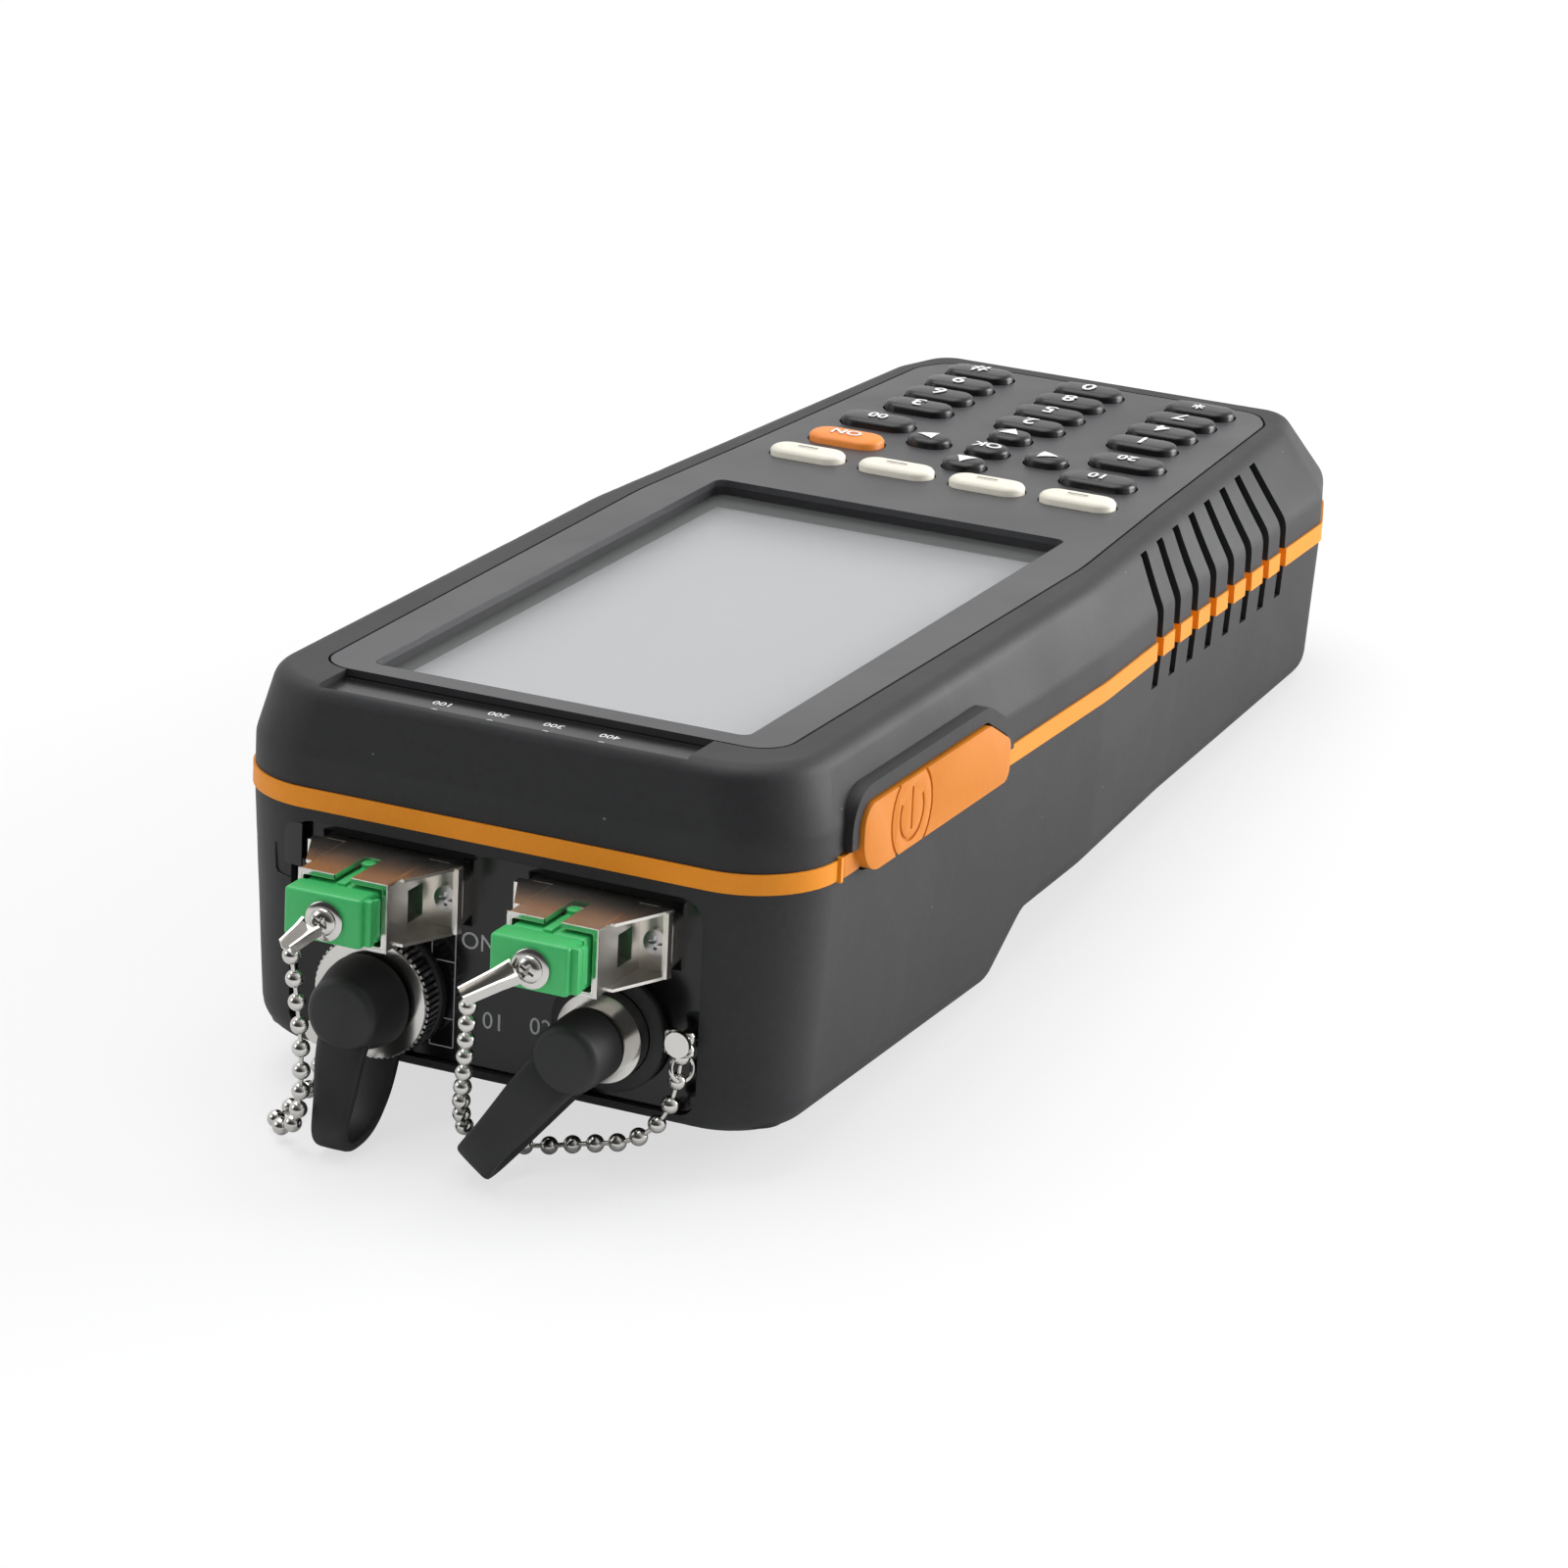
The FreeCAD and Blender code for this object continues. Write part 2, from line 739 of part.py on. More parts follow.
FLAP_MIDDLE = (mm("flap_near") + mm("flap_far")) / 2
FLAP_INSIDE = half_width(WIDEST, FLAP_MIDDLE) - mm("flap_sunk")
HINGE_SIDE = half_width(WIDEST, mm("flap_hinge")) + mm("hinge_proud")
FLAP_SIDE = [(mm("flap_near"), -mm("flap_bottom")), (mm("flap_far"), -mm("flap_bottom")),
             (mm("flap_far"), -mm("flap_far_top")), (mm("flap_shoulder"), -mm("flap_top")),
             (mm("flap_near"), -mm("flap_top"))]
FLAP_ROUNDS = [mm("flap_low_round")] + 3 * [mm("flap_far_round")] + [mm("flap_round")]
POCKET_FLOOR = FLAP_INSIDE - 0.2


def flap_prism(grow, low, high):
    """The flap's outline, grown all round, between two sides."""
    wire = rounded_wire(FLAP_SIDE, FLAP_ROUNDS, -grow, beside(low))
    return Part.Face(wire).extrude(Vector(high - low, 0, 0))


def flap_pocket():
    """The recess that the flap and its neck lie in."""
    outside = mm("head_half") + 9
    neck = box((POCKET_FLOOR - 0.1, outside),
               (mm("flap_hinge") - mm("neck_thick") / 2 - 0.2, mm("flap_near") + 2),
               (-BAND_BOTTOM - 0.5, -mm("band_top") + 0.5))
    return [flap_prism(mm("flap_gap"), POCKET_FLOOR, outside), neck]


def socket_holes():
    """The openings of the two sockets under the flap."""
    inside, outside = mm("front_half") - 5, mm("head_half") + 9
    usb = box((inside, outside), (mm("usb_place") - mm("usb_wide") / 2 - mm("fit_gap"),
                                  mm("usb_place") + mm("usb_wide") / 2 + mm("fit_gap")),
              (-mm("socket_drop") - mm("usb_high") / 2 - mm("fit_gap"),
               -mm("socket_drop") + mm("usb_high") / 2 + mm("fit_gap")))
    dc = pin(mm("dc_bore") + 2 * mm("dc_wall") + 2 * mm("fit_gap"),
             (inside, mm("dc_place"), -mm("socket_drop")), (1, 0, 0), outside - inside)
    return [usb, dc]


def make_upper_housing():
    """The top shell, with the recess for the face panel and the screw bosses under its roof."""
    outer = Part.makeLoft([plan_wire(WIDEST, 0, -mm("band_top")), plan_wire(WIDEST, 0, -mm("crease_drop")),
                           plan_wire(FACE, 0, 0)], True, True)
    rim = [edge for edge in outer.Edges if edge.BoundBox.ZMin > -0.01]
    outer = outer.makeFillet(mm("top_round"), rim)
    crease = [edge for edge in outer.Edges if abs(edge.BoundBox.ZMin + mm("crease_drop")) < 0.01
              and abs(edge.BoundBox.ZMax + mm("crease_drop")) < 0.01]
    outer = outer.makeFillet(mm("crease_round"), crease)
    ridge = flap_prism(mm("flap_ridge"), mm("front_half") - 2.5, mm("front_half") + 1.2)
    ridge = ridge.common(box((0, 99), (0, 199), (-mm("band_top"), 0)))
    outer = outer.fuse(ridge)
    hollow = Part.makeLoft([plan_wire(WIDEST, mm("wall"), -mm("band_top")),
                            plan_wire(WIDEST, mm("wall"), -mm("crease_drop")),
                            plan_wire(FACE, mm("wall"), UNDER_ROOF)], True, True)
    shell = outer.cut(hollow)
    bosses = [pin(mm("boss_dia"), (x, y, UNDER_ROOF), (0, 0, -1), mm("boss_split") + UNDER_ROOF)
              for x, y in SCREW_PLACES]
    shell = shell.fuse([boss.common(plan_prism(WIDEST, mm("wall"), -mm("boss_split"), 0)) for boss in bosses])
    light_tray = box((-mm("light_left"), mm("light_right")),
                     (mm("light_near") + 1.0, mm("light_near") + mm("light_length")), (-mm("light_deep"), 1))
    cuts = [plan_prism(PANEL, 0, -mm("panel_thick"), 1, PANEL_ROUNDS), light_tray, window_hole(-9, 1)]
    cuts += key_holes(-9, 1)
    cuts += [pin(mm("screw_shank") + 0.1, (x, y, -mm("screw_tip")), (0, 0, -1), 30) for x, y in SCREW_PLACES]
    cuts += [pin(mm("light_dia") + 0.1, (light_at(i), mm("light_row"), 0), (0, 0, -1), 9)
             for i in range(LIGHT_COUNT)]
    cuts += flap_pocket() + socket_holes()
    return slotted(shell.cut(cuts), mm("slot_deep"), -mm("slot_bottom"))


def light_at(index):
    """Where one of the row of status lights is."""
    return mm("light_first") + index * mm("light_pitch")


GRIP_FACE, TAIL_FACE = FACE[-2:]
PANEL = [(mm("panel_front_half"), mm("panel_front")),
         (mm("panel_head_half"), mm("panel_head_place")),
         (mm("panel_neck_half"), mm("panel_neck_place")),
         (GRIP_FACE[0] - mm("panel_margin"), GRIP_FACE[1]),
         (TAIL_FACE[0] - mm("panel_margin"), TAIL_FACE[1] - mm("panel_back_margin"))]
PANEL_CORNERS = [mm("panel_corner"), mm("corner_bend"), mm("corner_bend"), mm("corner_grip"),
                 mm("panel_corner")]
PANEL_ROUNDS = PANEL_CORNERS + PANEL_CORNERS[::-1]


def side_prism(inset):
    """What lies above the underside's stepped line, as seen from the side."""
    far = mm("case_length") - mm("tail_inset")
    slope_end = (far, bottom_at(far))
    corners = [(-9.0, -mm("case_depth")), (mm("belly_end"), -mm("case_depth")),
               (mm("ramp_end"), -mm("ramp_depth")), slope_end, (far, 9.0), (-9.0, 9.0)]
    wire = rounded_wire(corners, [0, 0, 0, mm("tail_round"), 0, 0], inset, beside(-99))
    return Part.Face(wire).extrude(Vector(198, 0, 0))


def make_lower_housing():
    """The bottom shell: stepped underside, port opening, bosses, ribs and battery bay."""
    def walls(inset):
        return Part.makeLoft([plan_wire(WIDEST, inset, -BAND_BOTTOM),
                              plan_wire(BELLY, inset, -mm("case_depth"))], True, True)
    outer = walls(0).common(side_prism(0))
    rim = [edge for edge in outer.Edges if edge.BoundBox.ZMax < -BAND_BOTTOM - 4]
    outer = outer.makeFillet(mm("bottom_round"), rim)
    hollow = walls(mm("wall")).common(side_prism(mm("wall")))
    shell = outer.cut(hollow)
    inside = walls(mm("wall") / 2).common(side_prism(mm("wall") / 2))
    inner = []
    for x, y in SCREW_PLACES:
        boss = pin(mm("boss_wide"), (x, y, -mm("case_depth")), (0, 0, 1), mm("case_depth") - mm("boss_split"))
        inner.append(boss.common(inside.fuse(plan_prism(WIDEST, mm("wall") + 0.3, -BAND_BOTTOM, 0))))
    for y in (mm("optics_near") + mm("rib_inset"), mm("optics_near") + mm("optics_length") - mm("rib_inset")):
        rib = box((-mm("optics_half") + mm("rib_thick"), mm("optics_half") - mm("rib_thick")),
                  (y - mm("rib_thick") / 2, y + mm("rib_thick") / 2),
                  (-mm("case_depth"), -mm("optics_depth")))
        inner.append(rib.common(inside))
    cover_far = mm("cover_near") + mm("cover_length")
    for side in (-1, 1):
        at = (side * mm("cover_screw_side"), cover_far - mm("cover_screw_ledge") / 2,
              -mm("case_depth") + mm("cover_thick") + 0.3)
        inner.append(pin(mm("cover_boss"), at, (0, 0, 1), mm("cover_screw_long")))
    shell = shell.fuse(inner)
    left, right = -number(PLATE_LEFT), number(PLATE_RIGHT)
    opening = [(left, -mm("plate_bottom")), (right, -mm("plate_bottom")),
               (right, -mm("plate_top")), (left, -mm("plate_top"))]
    opening = rounded_wire(opening, [mm("plate_corner") + mm("fit_gap")] * 4, 0.0, facing(-9))
    cuts = [Part.Face(opening).extrude(Vector(0, 9 + mm("wall"), 0)),
            box((left, right), (mm("wall"), mm("wall") + 0.5), (-mm("plate_bottom"), -mm("plate_top")))]
    for x, y in SCREW_PLACES:
        seat = bottom_at(y) + mm("screw_recess")
        cuts.append(pin(mm("screw_head") + 0.4, (x, y, seat), (0, 0, -1), 20))
        cuts.append(pin(mm("screw_shank") + 0.1, (x, y, seat - 1), (0, 0, 1), 60))
    ledge = mm("cover_ledge")
    cuts.append(rounded_hole((0, (mm("cover_near") + cover_far) / 2),
                             (2 * (mm("cover_half") + mm("fit_gap")), mm("cover_length") + 2 * mm("fit_gap")),
                             mm("cover_corner"), -mm("case_depth") - 1,
                             -mm("case_depth") + mm("cover_thick") + mm("fit_gap")))
    cuts.append(box((-mm("cover_half") + ledge, mm("cover_half") - ledge),
                    (mm("cover_near") + ledge, cover_far - mm("cover_screw_ledge")),
                    (-mm("case_depth") - 1, -mm("case_depth") + mm("wall") + 1)))
    for side in (-1, 1):
        at = (side * mm("cover_screw_side"), cover_far - mm("cover_screw_ledge") / 2, -mm("case_depth"))
        cuts.append(pin(mm("cover_screw") + 0.1, at, (0, 0, 1), mm("cover_screw_long")))
    cuts += flap_pocket() + socket_holes()
    return slotted(shell.cut(cuts), mm("slot_deep"), -mm("slot_bottom"))


def make_trim_band():
    """The coloured band between the shells, with the rib that holds the flap's neck."""
    low = -BAND_BOTTOM
    band = plan_prism(WIDEST, -mm("band_proud"), low, -mm("band_top"))
    band = band.cut(plan_prism(WIDEST, mm("wall"), low, -mm("band_top")))
    outline = plan_prism(WIDEST, -mm("rib_proud"), low - 0.3, -mm("band_top") + 0.3)
    rib = box((0, mm("head_half") + 9), (mm("rib_near"), mm("rib_near") + mm("rib_long")), (-99, 0))
    rib = rib.common(outline).cut(plan_prism(WIDEST, 0, -99, 0))
    root = box((mm("front_half") - 1, mm("front_half")), (mm("rib_near"), mm("rib_near") + mm("rib_long")),
               (low, -mm("band_top")))
    band = band.fuse([rib, root])
    backing = box((POCKET_FLOOR - mm("band_backing"), mm("head_half") + 9),
                  (mm("flap_hinge") - mm("neck_thick") - mm("wall"), mm("flap_far") + 2 * mm("wall")),
                  (low, -mm("band_top")))
    band = band.fuse(backing.common(plan_prism(WIDEST, 0, low, -mm("band_top"))))
    return slotted(band.cut(flap_pocket() + socket_holes()), mm("slot_band_deep"), low - 1)


subpart(made(make_upper_housing()), "upper_housing")
subpart(made(make_lower_housing()), "lower_housing")
subpart(made(make_trim_band()), "trim_band")

panel = plan_prism(PANEL, mm("panel_gap"), -mm("panel_thick"), 0, PANEL_ROUNDS)
subpart(made(panel.cut([window_hole(-9, 1)] + key_holes(-9, 1))), "face_panel")

# ---------------------------------------------------------------- screen, mat and boards

SCREEN_MIDDLE = "window_near + window_length / 2"
lens = new_body()
rounded_pad(lens, "XY_Plane", "2 * (window_half + lens_lap)", "window_length + 2 * lens_lap",
            "window_corner + lens_lap", ("0", SCREEN_MIDDLE), "-(wall + lens_thick)", "lens_thick")
subpart(lens, "display_lens")

screen = new_body()
rounded_pad(screen, "XY_Plane", "screen_width", "screen_length", "1.0", ("0", SCREEN_MIDDLE),
            "-(wall + lens_thick + screen_gap + screen_thick)", "screen_thick")
subpart(screen, "lcd_module")

board = new_body()
rounded_pad(board, "XY_Plane", "2 * board_half", "board_length", "board_corner",
            ("0", "board_near + board_length / 2"), "-(board_depth + board_thick)", "board_thick")
subpart(board, "main_board")

mat_top = "board_depth - mat_thick"
dome_height = f"{mat_top} - (wall + fit_gap + flange_thick + key_travel + dome_gap)"
mat_parts = [block(("-mat_half", "mat_near", "-board_depth"),
                   ("mat_half", "mat_near + mat_length", f"-({mat_top})"))]
for _, _, x, y in KEYS:
    mat_parts.append(cone("dome_dia", "dome_dia * 0.6", (x, y, f"-({mat_top})"), dome_height))
subpart(fuse(*mat_parts), "keypad_mat")

optics = new_body()
rounded_pad(optics, "XY_Plane", "2 * optics_half", "optics_length", "2.0",
            ("0", "optics_near + optics_length / 2"), "-optics_depth", "optics_height")
subpart(optics, "optical_module")

battery = new_body()
rounded_pad(battery, "XY_Plane", "2 * battery_half", "battery_length", "3.0",
            ("0", "battery_near + battery_length / 2"), "-(case_depth - wall - 2 * fit_gap)",
            "battery_height")
subpart(battery, "battery_pack")

cover = new_body()
rounded_pad(cover, "XY_Plane", "2 * cover_half", "cover_length", "cover_corner - fit_gap",
            ("0", "cover_near + cover_length / 2"), "-case_depth", "cover_thick")
rounded_pad(cover, "XY_Plane", "2 * (cover_half - cover_ledge - fit_gap)",
            "cover_length - cover_ledge - cover_screw_ledge - 2 * fit_gap", "1.0",
            ("0", "cover_near + (cover_length + cover_ledge - cover_screw_ledge) / 2"), "-case_depth",
            "wall + fit_gap")
COVER_SCREW_ROW = "cover_near + cover_length - cover_screw_ledge / 2"
cover_holes = [rod(dia, (f"{side} * cover_screw_side", COVER_SCREW_ROW, "-case_depth"), deep)
               for side in (-1, 1)
               for dia, deep in (("cover_screw + 0.2", "wall + 1"),
                                 ("cover_screw_head + 0.4", "cover_screw_sink"))]
subpart(cut(cover, *cover_holes), "battery_cover")

subpart(group(*[rod("light_dia", (f"light_first + light_pitch * {index}", "light_row", "-board_depth + 0.3"),
                    "board_depth - 0.3 - light_deep + 0.3") for index in range(LIGHT_COUNT)]), "led_pipes")


def cross_screw(diameter, head, thick, at, long, along):
    """A screw with a cross recess; the point is under its head, and it points along its shank."""
    x, y, z = at
    shank = rod(diameter, at, long, along)
    back = {"+Z": "-Z", "+Y": "-Y"}[along]
    cap = rod(head, at, thick, back)
    wide, slim, deep = f"({head}) * 0.28", f"({head}) * 0.07", f"({thick}) * 0.5"
    slots = []
    for first, second in ((wide, slim), (slim, wide)):
        if along == "+Z":
            low = (f"{x} - {first}", f"{y} - {second}", f"{z} - ({thick})")
            high = (f"{x} + {first}", f"{y} + {second}", f"{z} - ({thick}) + {deep}")
        else:
            low = (f"{x} - {first}", f"{y} - ({thick})", f"{z} - {second}")
            high = (f"{x} + {first}", f"{y} - ({thick}) + {deep}", f"{z} + {second}")
        slots.append(block(low, high))
    return cut(fuse(shank, cap), *slots)


screws = []
for x, y in (("boss_side", "boss_near"), ("boss_side", "boss_neck"), ("boss_tail_side", "boss_tail")):
    for side in (-1, 1):
        seat = f"({bottom_at(mm(y))}) + screw_recess"
        screws.append(cross_screw("screw_shank", "screw_head", "screw_head_thick", (f"{side} * {x}", y, seat),
                                  f"-({seat}) - screw_tip - 0.5", "+Z"))
for side in (-1, 1):
    screws.append(cross_screw("cover_screw", "cover_screw_head", "cover_screw_head_thick",
                              (f"{side} * cover_screw_side", COVER_SCREW_ROW,
                               "-case_depth + cover_screw_sink"),
                              "cover_screw_long - 1", "+Z"))
subpart(group(*screws), "case_screws")

# ---------------------------------------------------------------- port end

PLATE_MIDDLE = (f"({PLATE_RIGHT} - {PLATE_LEFT}) / 2", "-(plate_top + plate_bottom) / 2")
PLATE_WIDE = f"{PLATE_LEFT} + {PLATE_RIGHT}"
PLATE_TALL = "plate_bottom - plate_top"

plate = new_body()
rounded_pad(plate, "XZ_Plane", f"{PLATE_WIDE} - 2 * fit_gap", f"{PLATE_TALL} - 2 * fit_gap", "plate_corner",
            PLATE_MIDDLE, "-(wall + fit_gap + plate_flange)", "wall + fit_gap + plate_flange - plate_recess")
rounded_pad(plate, "XZ_Plane", f"{PLATE_WIDE} - 2 * fit_gap", f"{PLATE_TALL} - fit_gap + plate_lap",
            "0.6", (PLATE_MIDDLE[0], "-(plate_top + plate_bottom - fit_gap - plate_lap) / 2"),
            "-(wall + fit_gap + plate_flange)", "plate_flange")
for centre in ADAPTERS.values():
    rounded_pocket(plate, "XZ_Plane", "adapter_wide + 2 * fit_gap", "adapter_high + 2 * fit_gap", "0.3",
                   (centre, "-adapter_drop"), "0", "wall * 4")
plate_cuts = [rod("meter_barrel + 2 * fit_gap", (METER_SIDE, "0", "-meter_drop"), "wall * 4", "+Y"),
              rod("fault_sleeve + 2 * fit_gap", (FAULT_SIDE, "0", "-fault_drop"), "wall * 4", "+Y")]
for centre in ADAPTERS.values():
    for side in (-1, 1):
        at = (f"{centre} + {side} * adapter_screw_span / 2", "0", "-adapter_drop")
        plate_cuts.append(rod("adapter_screw + 0.1", at, "wall * 4", "+Y"))
subpart(cut(plate, *plate_cuts), "end_plate")

FLANGE_FACE = "plate_recess - adapter_flange_thick"
ADAPTER_FRONT = "plate_recess - adapter_reach"
INNER_WIDE = "adapter_wide - 2 * adapter_wall"
INNER_HIGH = "adapter_high - 2 * adapter_wall"


def make_adapter(side, centre):
    """A square-shelled fibre adapter with an eared flange and the sleeve that aligns two ferrules."""
    body = new_body()
    middle = (centre, "-adapter_drop")
    rounded_pad(body, "XZ_Plane", "adapter_wide", "adapter_high", "0.4", middle, "-adapter_rear",
                f"adapter_rear - ({ADAPTER_FRONT})")
    rounded_pad(body, "XZ_Plane", "adapter_flange", "adapter_high", "2.4", middle, "-plate_recess",
                "adapter_flange_thick")
    rounded_pocket(body, "XZ_Plane", INNER_WIDE, INNER_HIGH, "0.3", middle, f"-({ADAPTER_FRONT})",
                   "adapter_reach + 0.5")
    rounded_pocket(body, "XZ_Plane", INNER_WIDE, INNER_HIGH, "0.3", middle, "-(plate_recess + 2.5)",
                   "adapter_rear")
    sleeve = rod("sleeve_dia", (centre, "plate_recess - 4", "-adapter_drop"), "10", "+Y")
    ferrule = rod("ferrule_bore", (centre, "plate_recess - 6", "-adapter_drop"), "16", "+Y")
    slot = block((f"{centre} - adapter_slot / 2", f"{ADAPTER_FRONT} - 1",
                  "-adapter_drop + adapter_high / 2 - 1.5"),
                 (f"{centre} + adapter_slot / 2", f"{ADAPTER_FRONT} + adapter_slot_long",
                  "-adapter_drop + adapter_high / 2 + 1"))
    holes = [block((f"{centre} - adapter_wide", f"{FLANGE_FACE} - 6.2", "-adapter_drop - 2.2"),
                   (f"{centre} + adapter_wide", f"{FLANGE_FACE} - 2.2", "-adapter_drop + 2.2"))]
    for ear in (-1, 1):
        at = (f"{centre} + {ear} * adapter_screw_span / 2", "plate_recess - 5", "-adapter_drop")
        holes.append(rod("adapter_screw + 0.1", at, "10", "+Y"))
    subpart(cut(fuse(body, sleeve), ferrule, slot, *holes), f"sc_adapter_{side}")


adapter_fixings = []
for side, centre in ADAPTERS.items():
    make_adapter(side, centre)
    for ear in (-1, 1):
        at = (f"{centre} + {ear} * adapter_screw_span / 2", FLANGE_FACE, "-adapter_drop")
        adapter_fixings.append(cross_screw("adapter_screw", "adapter_screw_head", "0.9", at, "5.5", "+Y"))
subpart(group(*adapter_fixings), "adapter_screws")


def make_dust_plug(side, centre, out):
    """A moulded plug: a head outside the adapter, a neck inside it and a rail in its slot."""
    body = new_body()
    front = f"{ADAPTER_FRONT} - fit_gap - ({out})"
    rounded_pad(body, "XZ_Plane", "plug_head_wide", "plug_head_high", "0.5", (centre, "-adapter_drop + 0.2"),
                f"-({front})", "plug_head_deep")
    rounded_pad(body, "XZ_Plane", f"{INNER_WIDE} - 2 * plug_gap", f"{INNER_HIGH} - 2 * plug_gap", "0.6",
                (centre, "-adapter_drop"), f"-({front} + plug_neck_long)", "plug_neck_long")
    rail = block((f"{centre} - adapter_slot / 2 + plug_gap", front, "-adapter_drop + 2"),
                 (f"{centre} + adapter_slot / 2 - plug_gap", f"{front} + plug_neck_long",
                  "-adapter_drop + adapter_high / 2 - 0.2"))
    subpart(fuse(body, rail), f"dust_plug_{side}")
    return f"{front} - plug_head_deep"


PLUG_FACES = {"left": make_dust_plug("left", ADAPTERS["left"], "0"),
              "right": make_dust_plug("right", ADAPTERS["right"], "right_plug_out")}


def make_lug(side, tab_end, tab_drop):
    """A pressed metal eyelet: a round washer, an arm across the plug, and a tab folded forward."""
    centre, face = ADAPTERS[side], PLUG_FACES[side]
    washer = rod("lug_dia", (centre, face, "-adapter_drop"), "lug_thick", "-Y")
    run, rise = number(f"{tab_end} - ({centre})"), number(f"{tab_drop} + adapter_drop")
    arm = doc.addObject("Part::Box", "arm")
    arm.Placement = Placement(Vector(), Rotation(Vector(0, 1, 0), -math.degrees(math.atan2(rise, run))))
    arm.setExpression("Length", str(math.hypot(run, rise)))
    arm.setExpression("Width", formula("lug_thick"))
    arm.setExpression("Height", formula("lug_tab"))
    across = arm.Placement.Rotation.multVec(Vector(0, 0, -mm("lug_tab") / 2))
    place(arm, (f"{centre} + ({across.x})", f"{face} - lug_thick", f"-adapter_drop + ({across.z})"))
    tab = block((f"{tab_end} - lug_tab / 2", f"{face} - lug_tab_reach", f"{tab_drop} - lug_thick"),
                (f"{tab_end} + lug_tab / 2", face, tab_drop))
    riser = block((f"{tab_end} - lug_tab / 2", f"{face} - lug_thick", f"{tab_drop} - lug_thick"),
                  (f"{tab_end} + lug_tab / 2", face, f"{tab_drop} + 1.6"))
    subpart(fuse(washer, arm, tab, riser), f"plug_lug_{side}")


make_lug("left", "-18.6", "-26.8")
make_lug("right", "7.0", "-27.8")


def make_port(side, drop, sleeve, sleeve_front, sleeve_back, nose_front, flange=None):
    """A round port: a sleeve through the plate, a nose that the cap sits on, and a nut behind."""
    back = "wall + fit_gap + plate_flange"
    pieces = [rod(sleeve, (side, f"-({sleeve_front})", drop), f"({sleeve_front}) + ({sleeve_back})", "+Y"),
              rod("port_nose", (side, f"-({nose_front})", drop), f"({nose_front})", "+Y"),
              rod(f"{sleeve} + 4", (side, back, drop), "nut_thick", "+Y")]
    if flange:
        pieces.append(rod(flange, (side, "plate_recess - fault_flange_long", drop),
                          "fault_flange_long", "+Y"))
    bore = rod("ferrule_bore", (side, f"-({nose_front}) - 1", drop), "7", "+Y")
    return cut(fuse(*pieces), bore)


def make_cap(node, side, drop, start, dia, tip):
    """A rubber cap over a port's nose."""
    outside = cone(dia, tip, (side, f"-({start})", drop), "cap_long", "-Y")
    inside = rod("port_nose + 2 * nose_gap", (side, f"-({start}) + 1", drop), "cap_long - cap_end + 1", "-Y")
    subpart(cut(outside, inside), node)


METER_NOSE = "meter_cap_start + cap_long - cap_end - 0.3"
FAULT_NOSE = "fault_cap_start + cap_long - cap_end - 0.3"
subpart(make_port(METER_SIDE, "-meter_drop", "meter_barrel", "meter_ring_long - 0.6", "9", METER_NOSE),
        "meter_port")
fault_bore = rod("laser_dia + 2 * fit_gap", (FAULT_SIDE, "plate_recess", "-fault_drop"), "12", "+Y")
subpart(cut(make_port(FAULT_SIDE, "-fault_drop", "fault_sleeve", "fault_cap_start - 0.2", "9", FAULT_NOSE,
                      "fault_flange"), fault_bore), "fault_port")
subpart(fuse(rod("laser_dia", (FAULT_SIDE, "plate_recess + 0.2", "-fault_drop"), "laser_long", "+Y"),
             rod("laser_dia + 1.6", (FAULT_SIDE, "9.2", "-fault_drop"), "laser_long - 8", "+Y")),
        "fault_laser")

RING_BACK = "plate_recess - strap_thick - fit_gap"
ring_body = fuse(rod("meter_ring_dia", (METER_SIDE, f"{RING_BACK} - meter_ring_long + meter_cone",
                                        "-meter_drop"), "meter_ring_long - meter_cone", "+Y"),
                 cone("meter_ring_dia", "meter_cap_dia + 1.6",
                      (METER_SIDE, f"{RING_BACK} - meter_ring_long + meter_cone", "-meter_drop"),
                      "meter_cone", "-Y"))
ring_bore = rod("meter_barrel + fit_gap", (METER_SIDE, "-9", "-meter_drop"), "12", "+Y")
subpart(cut(ring_body, ring_bore), "meter_ring")

make_cap("meter_cap", METER_SIDE, "-meter_drop", "meter_cap_start", "meter_cap_dia", "meter_cap_tip")
make_cap("fault_cap", FAULT_SIDE, "-fault_drop", "fault_cap_start", "fault_cap_dia", "fault_cap_dia")

# ---------------------------------------------------------------- straps and chains


def make_strap(node, side, drop, tilt, run, hole):
    """A flat rubber strap from its cap round a loop to the washer at the port's foot."""
    axis = Vector(side, 0, -drop)
    down = Vector(-math.sin(math.radians(tilt)), 0, -math.cos(math.radians(tilt)))
    across = Vector(0, 1, 0).cross(down)
    points = [axis + Vector(0, y, 0) + down * reach for y, reach in run]
    wire, radii = smooth_path(points)
    ahead = (points[1] - points[0]).normalize()
    thin = ahead.cross(across).normalize() * (mm("strap_thick") / 2)
    wide = across * (mm("strap_wide") / 2)
    corners = [points[0] + wide + thin, points[0] - wide + thin, points[0] - wide - thin,
               points[0] + wide - thin]
    section = Part.makePolygon(corners + corners[:1])
    strap = wire.makePipeShell([section], True, False)
    foot = mm("plate_recess") - mm("strap_thick")
    washer = pin(hole + 2 * mm("strap_ring_lap"), (side, foot, -drop), (0, 1, 0), mm("strap_thick"))
    washer = washer.cut(pin(hole + 2 * mm("fit_gap"), (side, foot - 1, -drop), (0, 1, 0), 9))
    print(node, "radii", [round(radius, 1) for radius in radii], "solid", strap.isValid())
    subpart(made(washer.fuse(strap)), node)


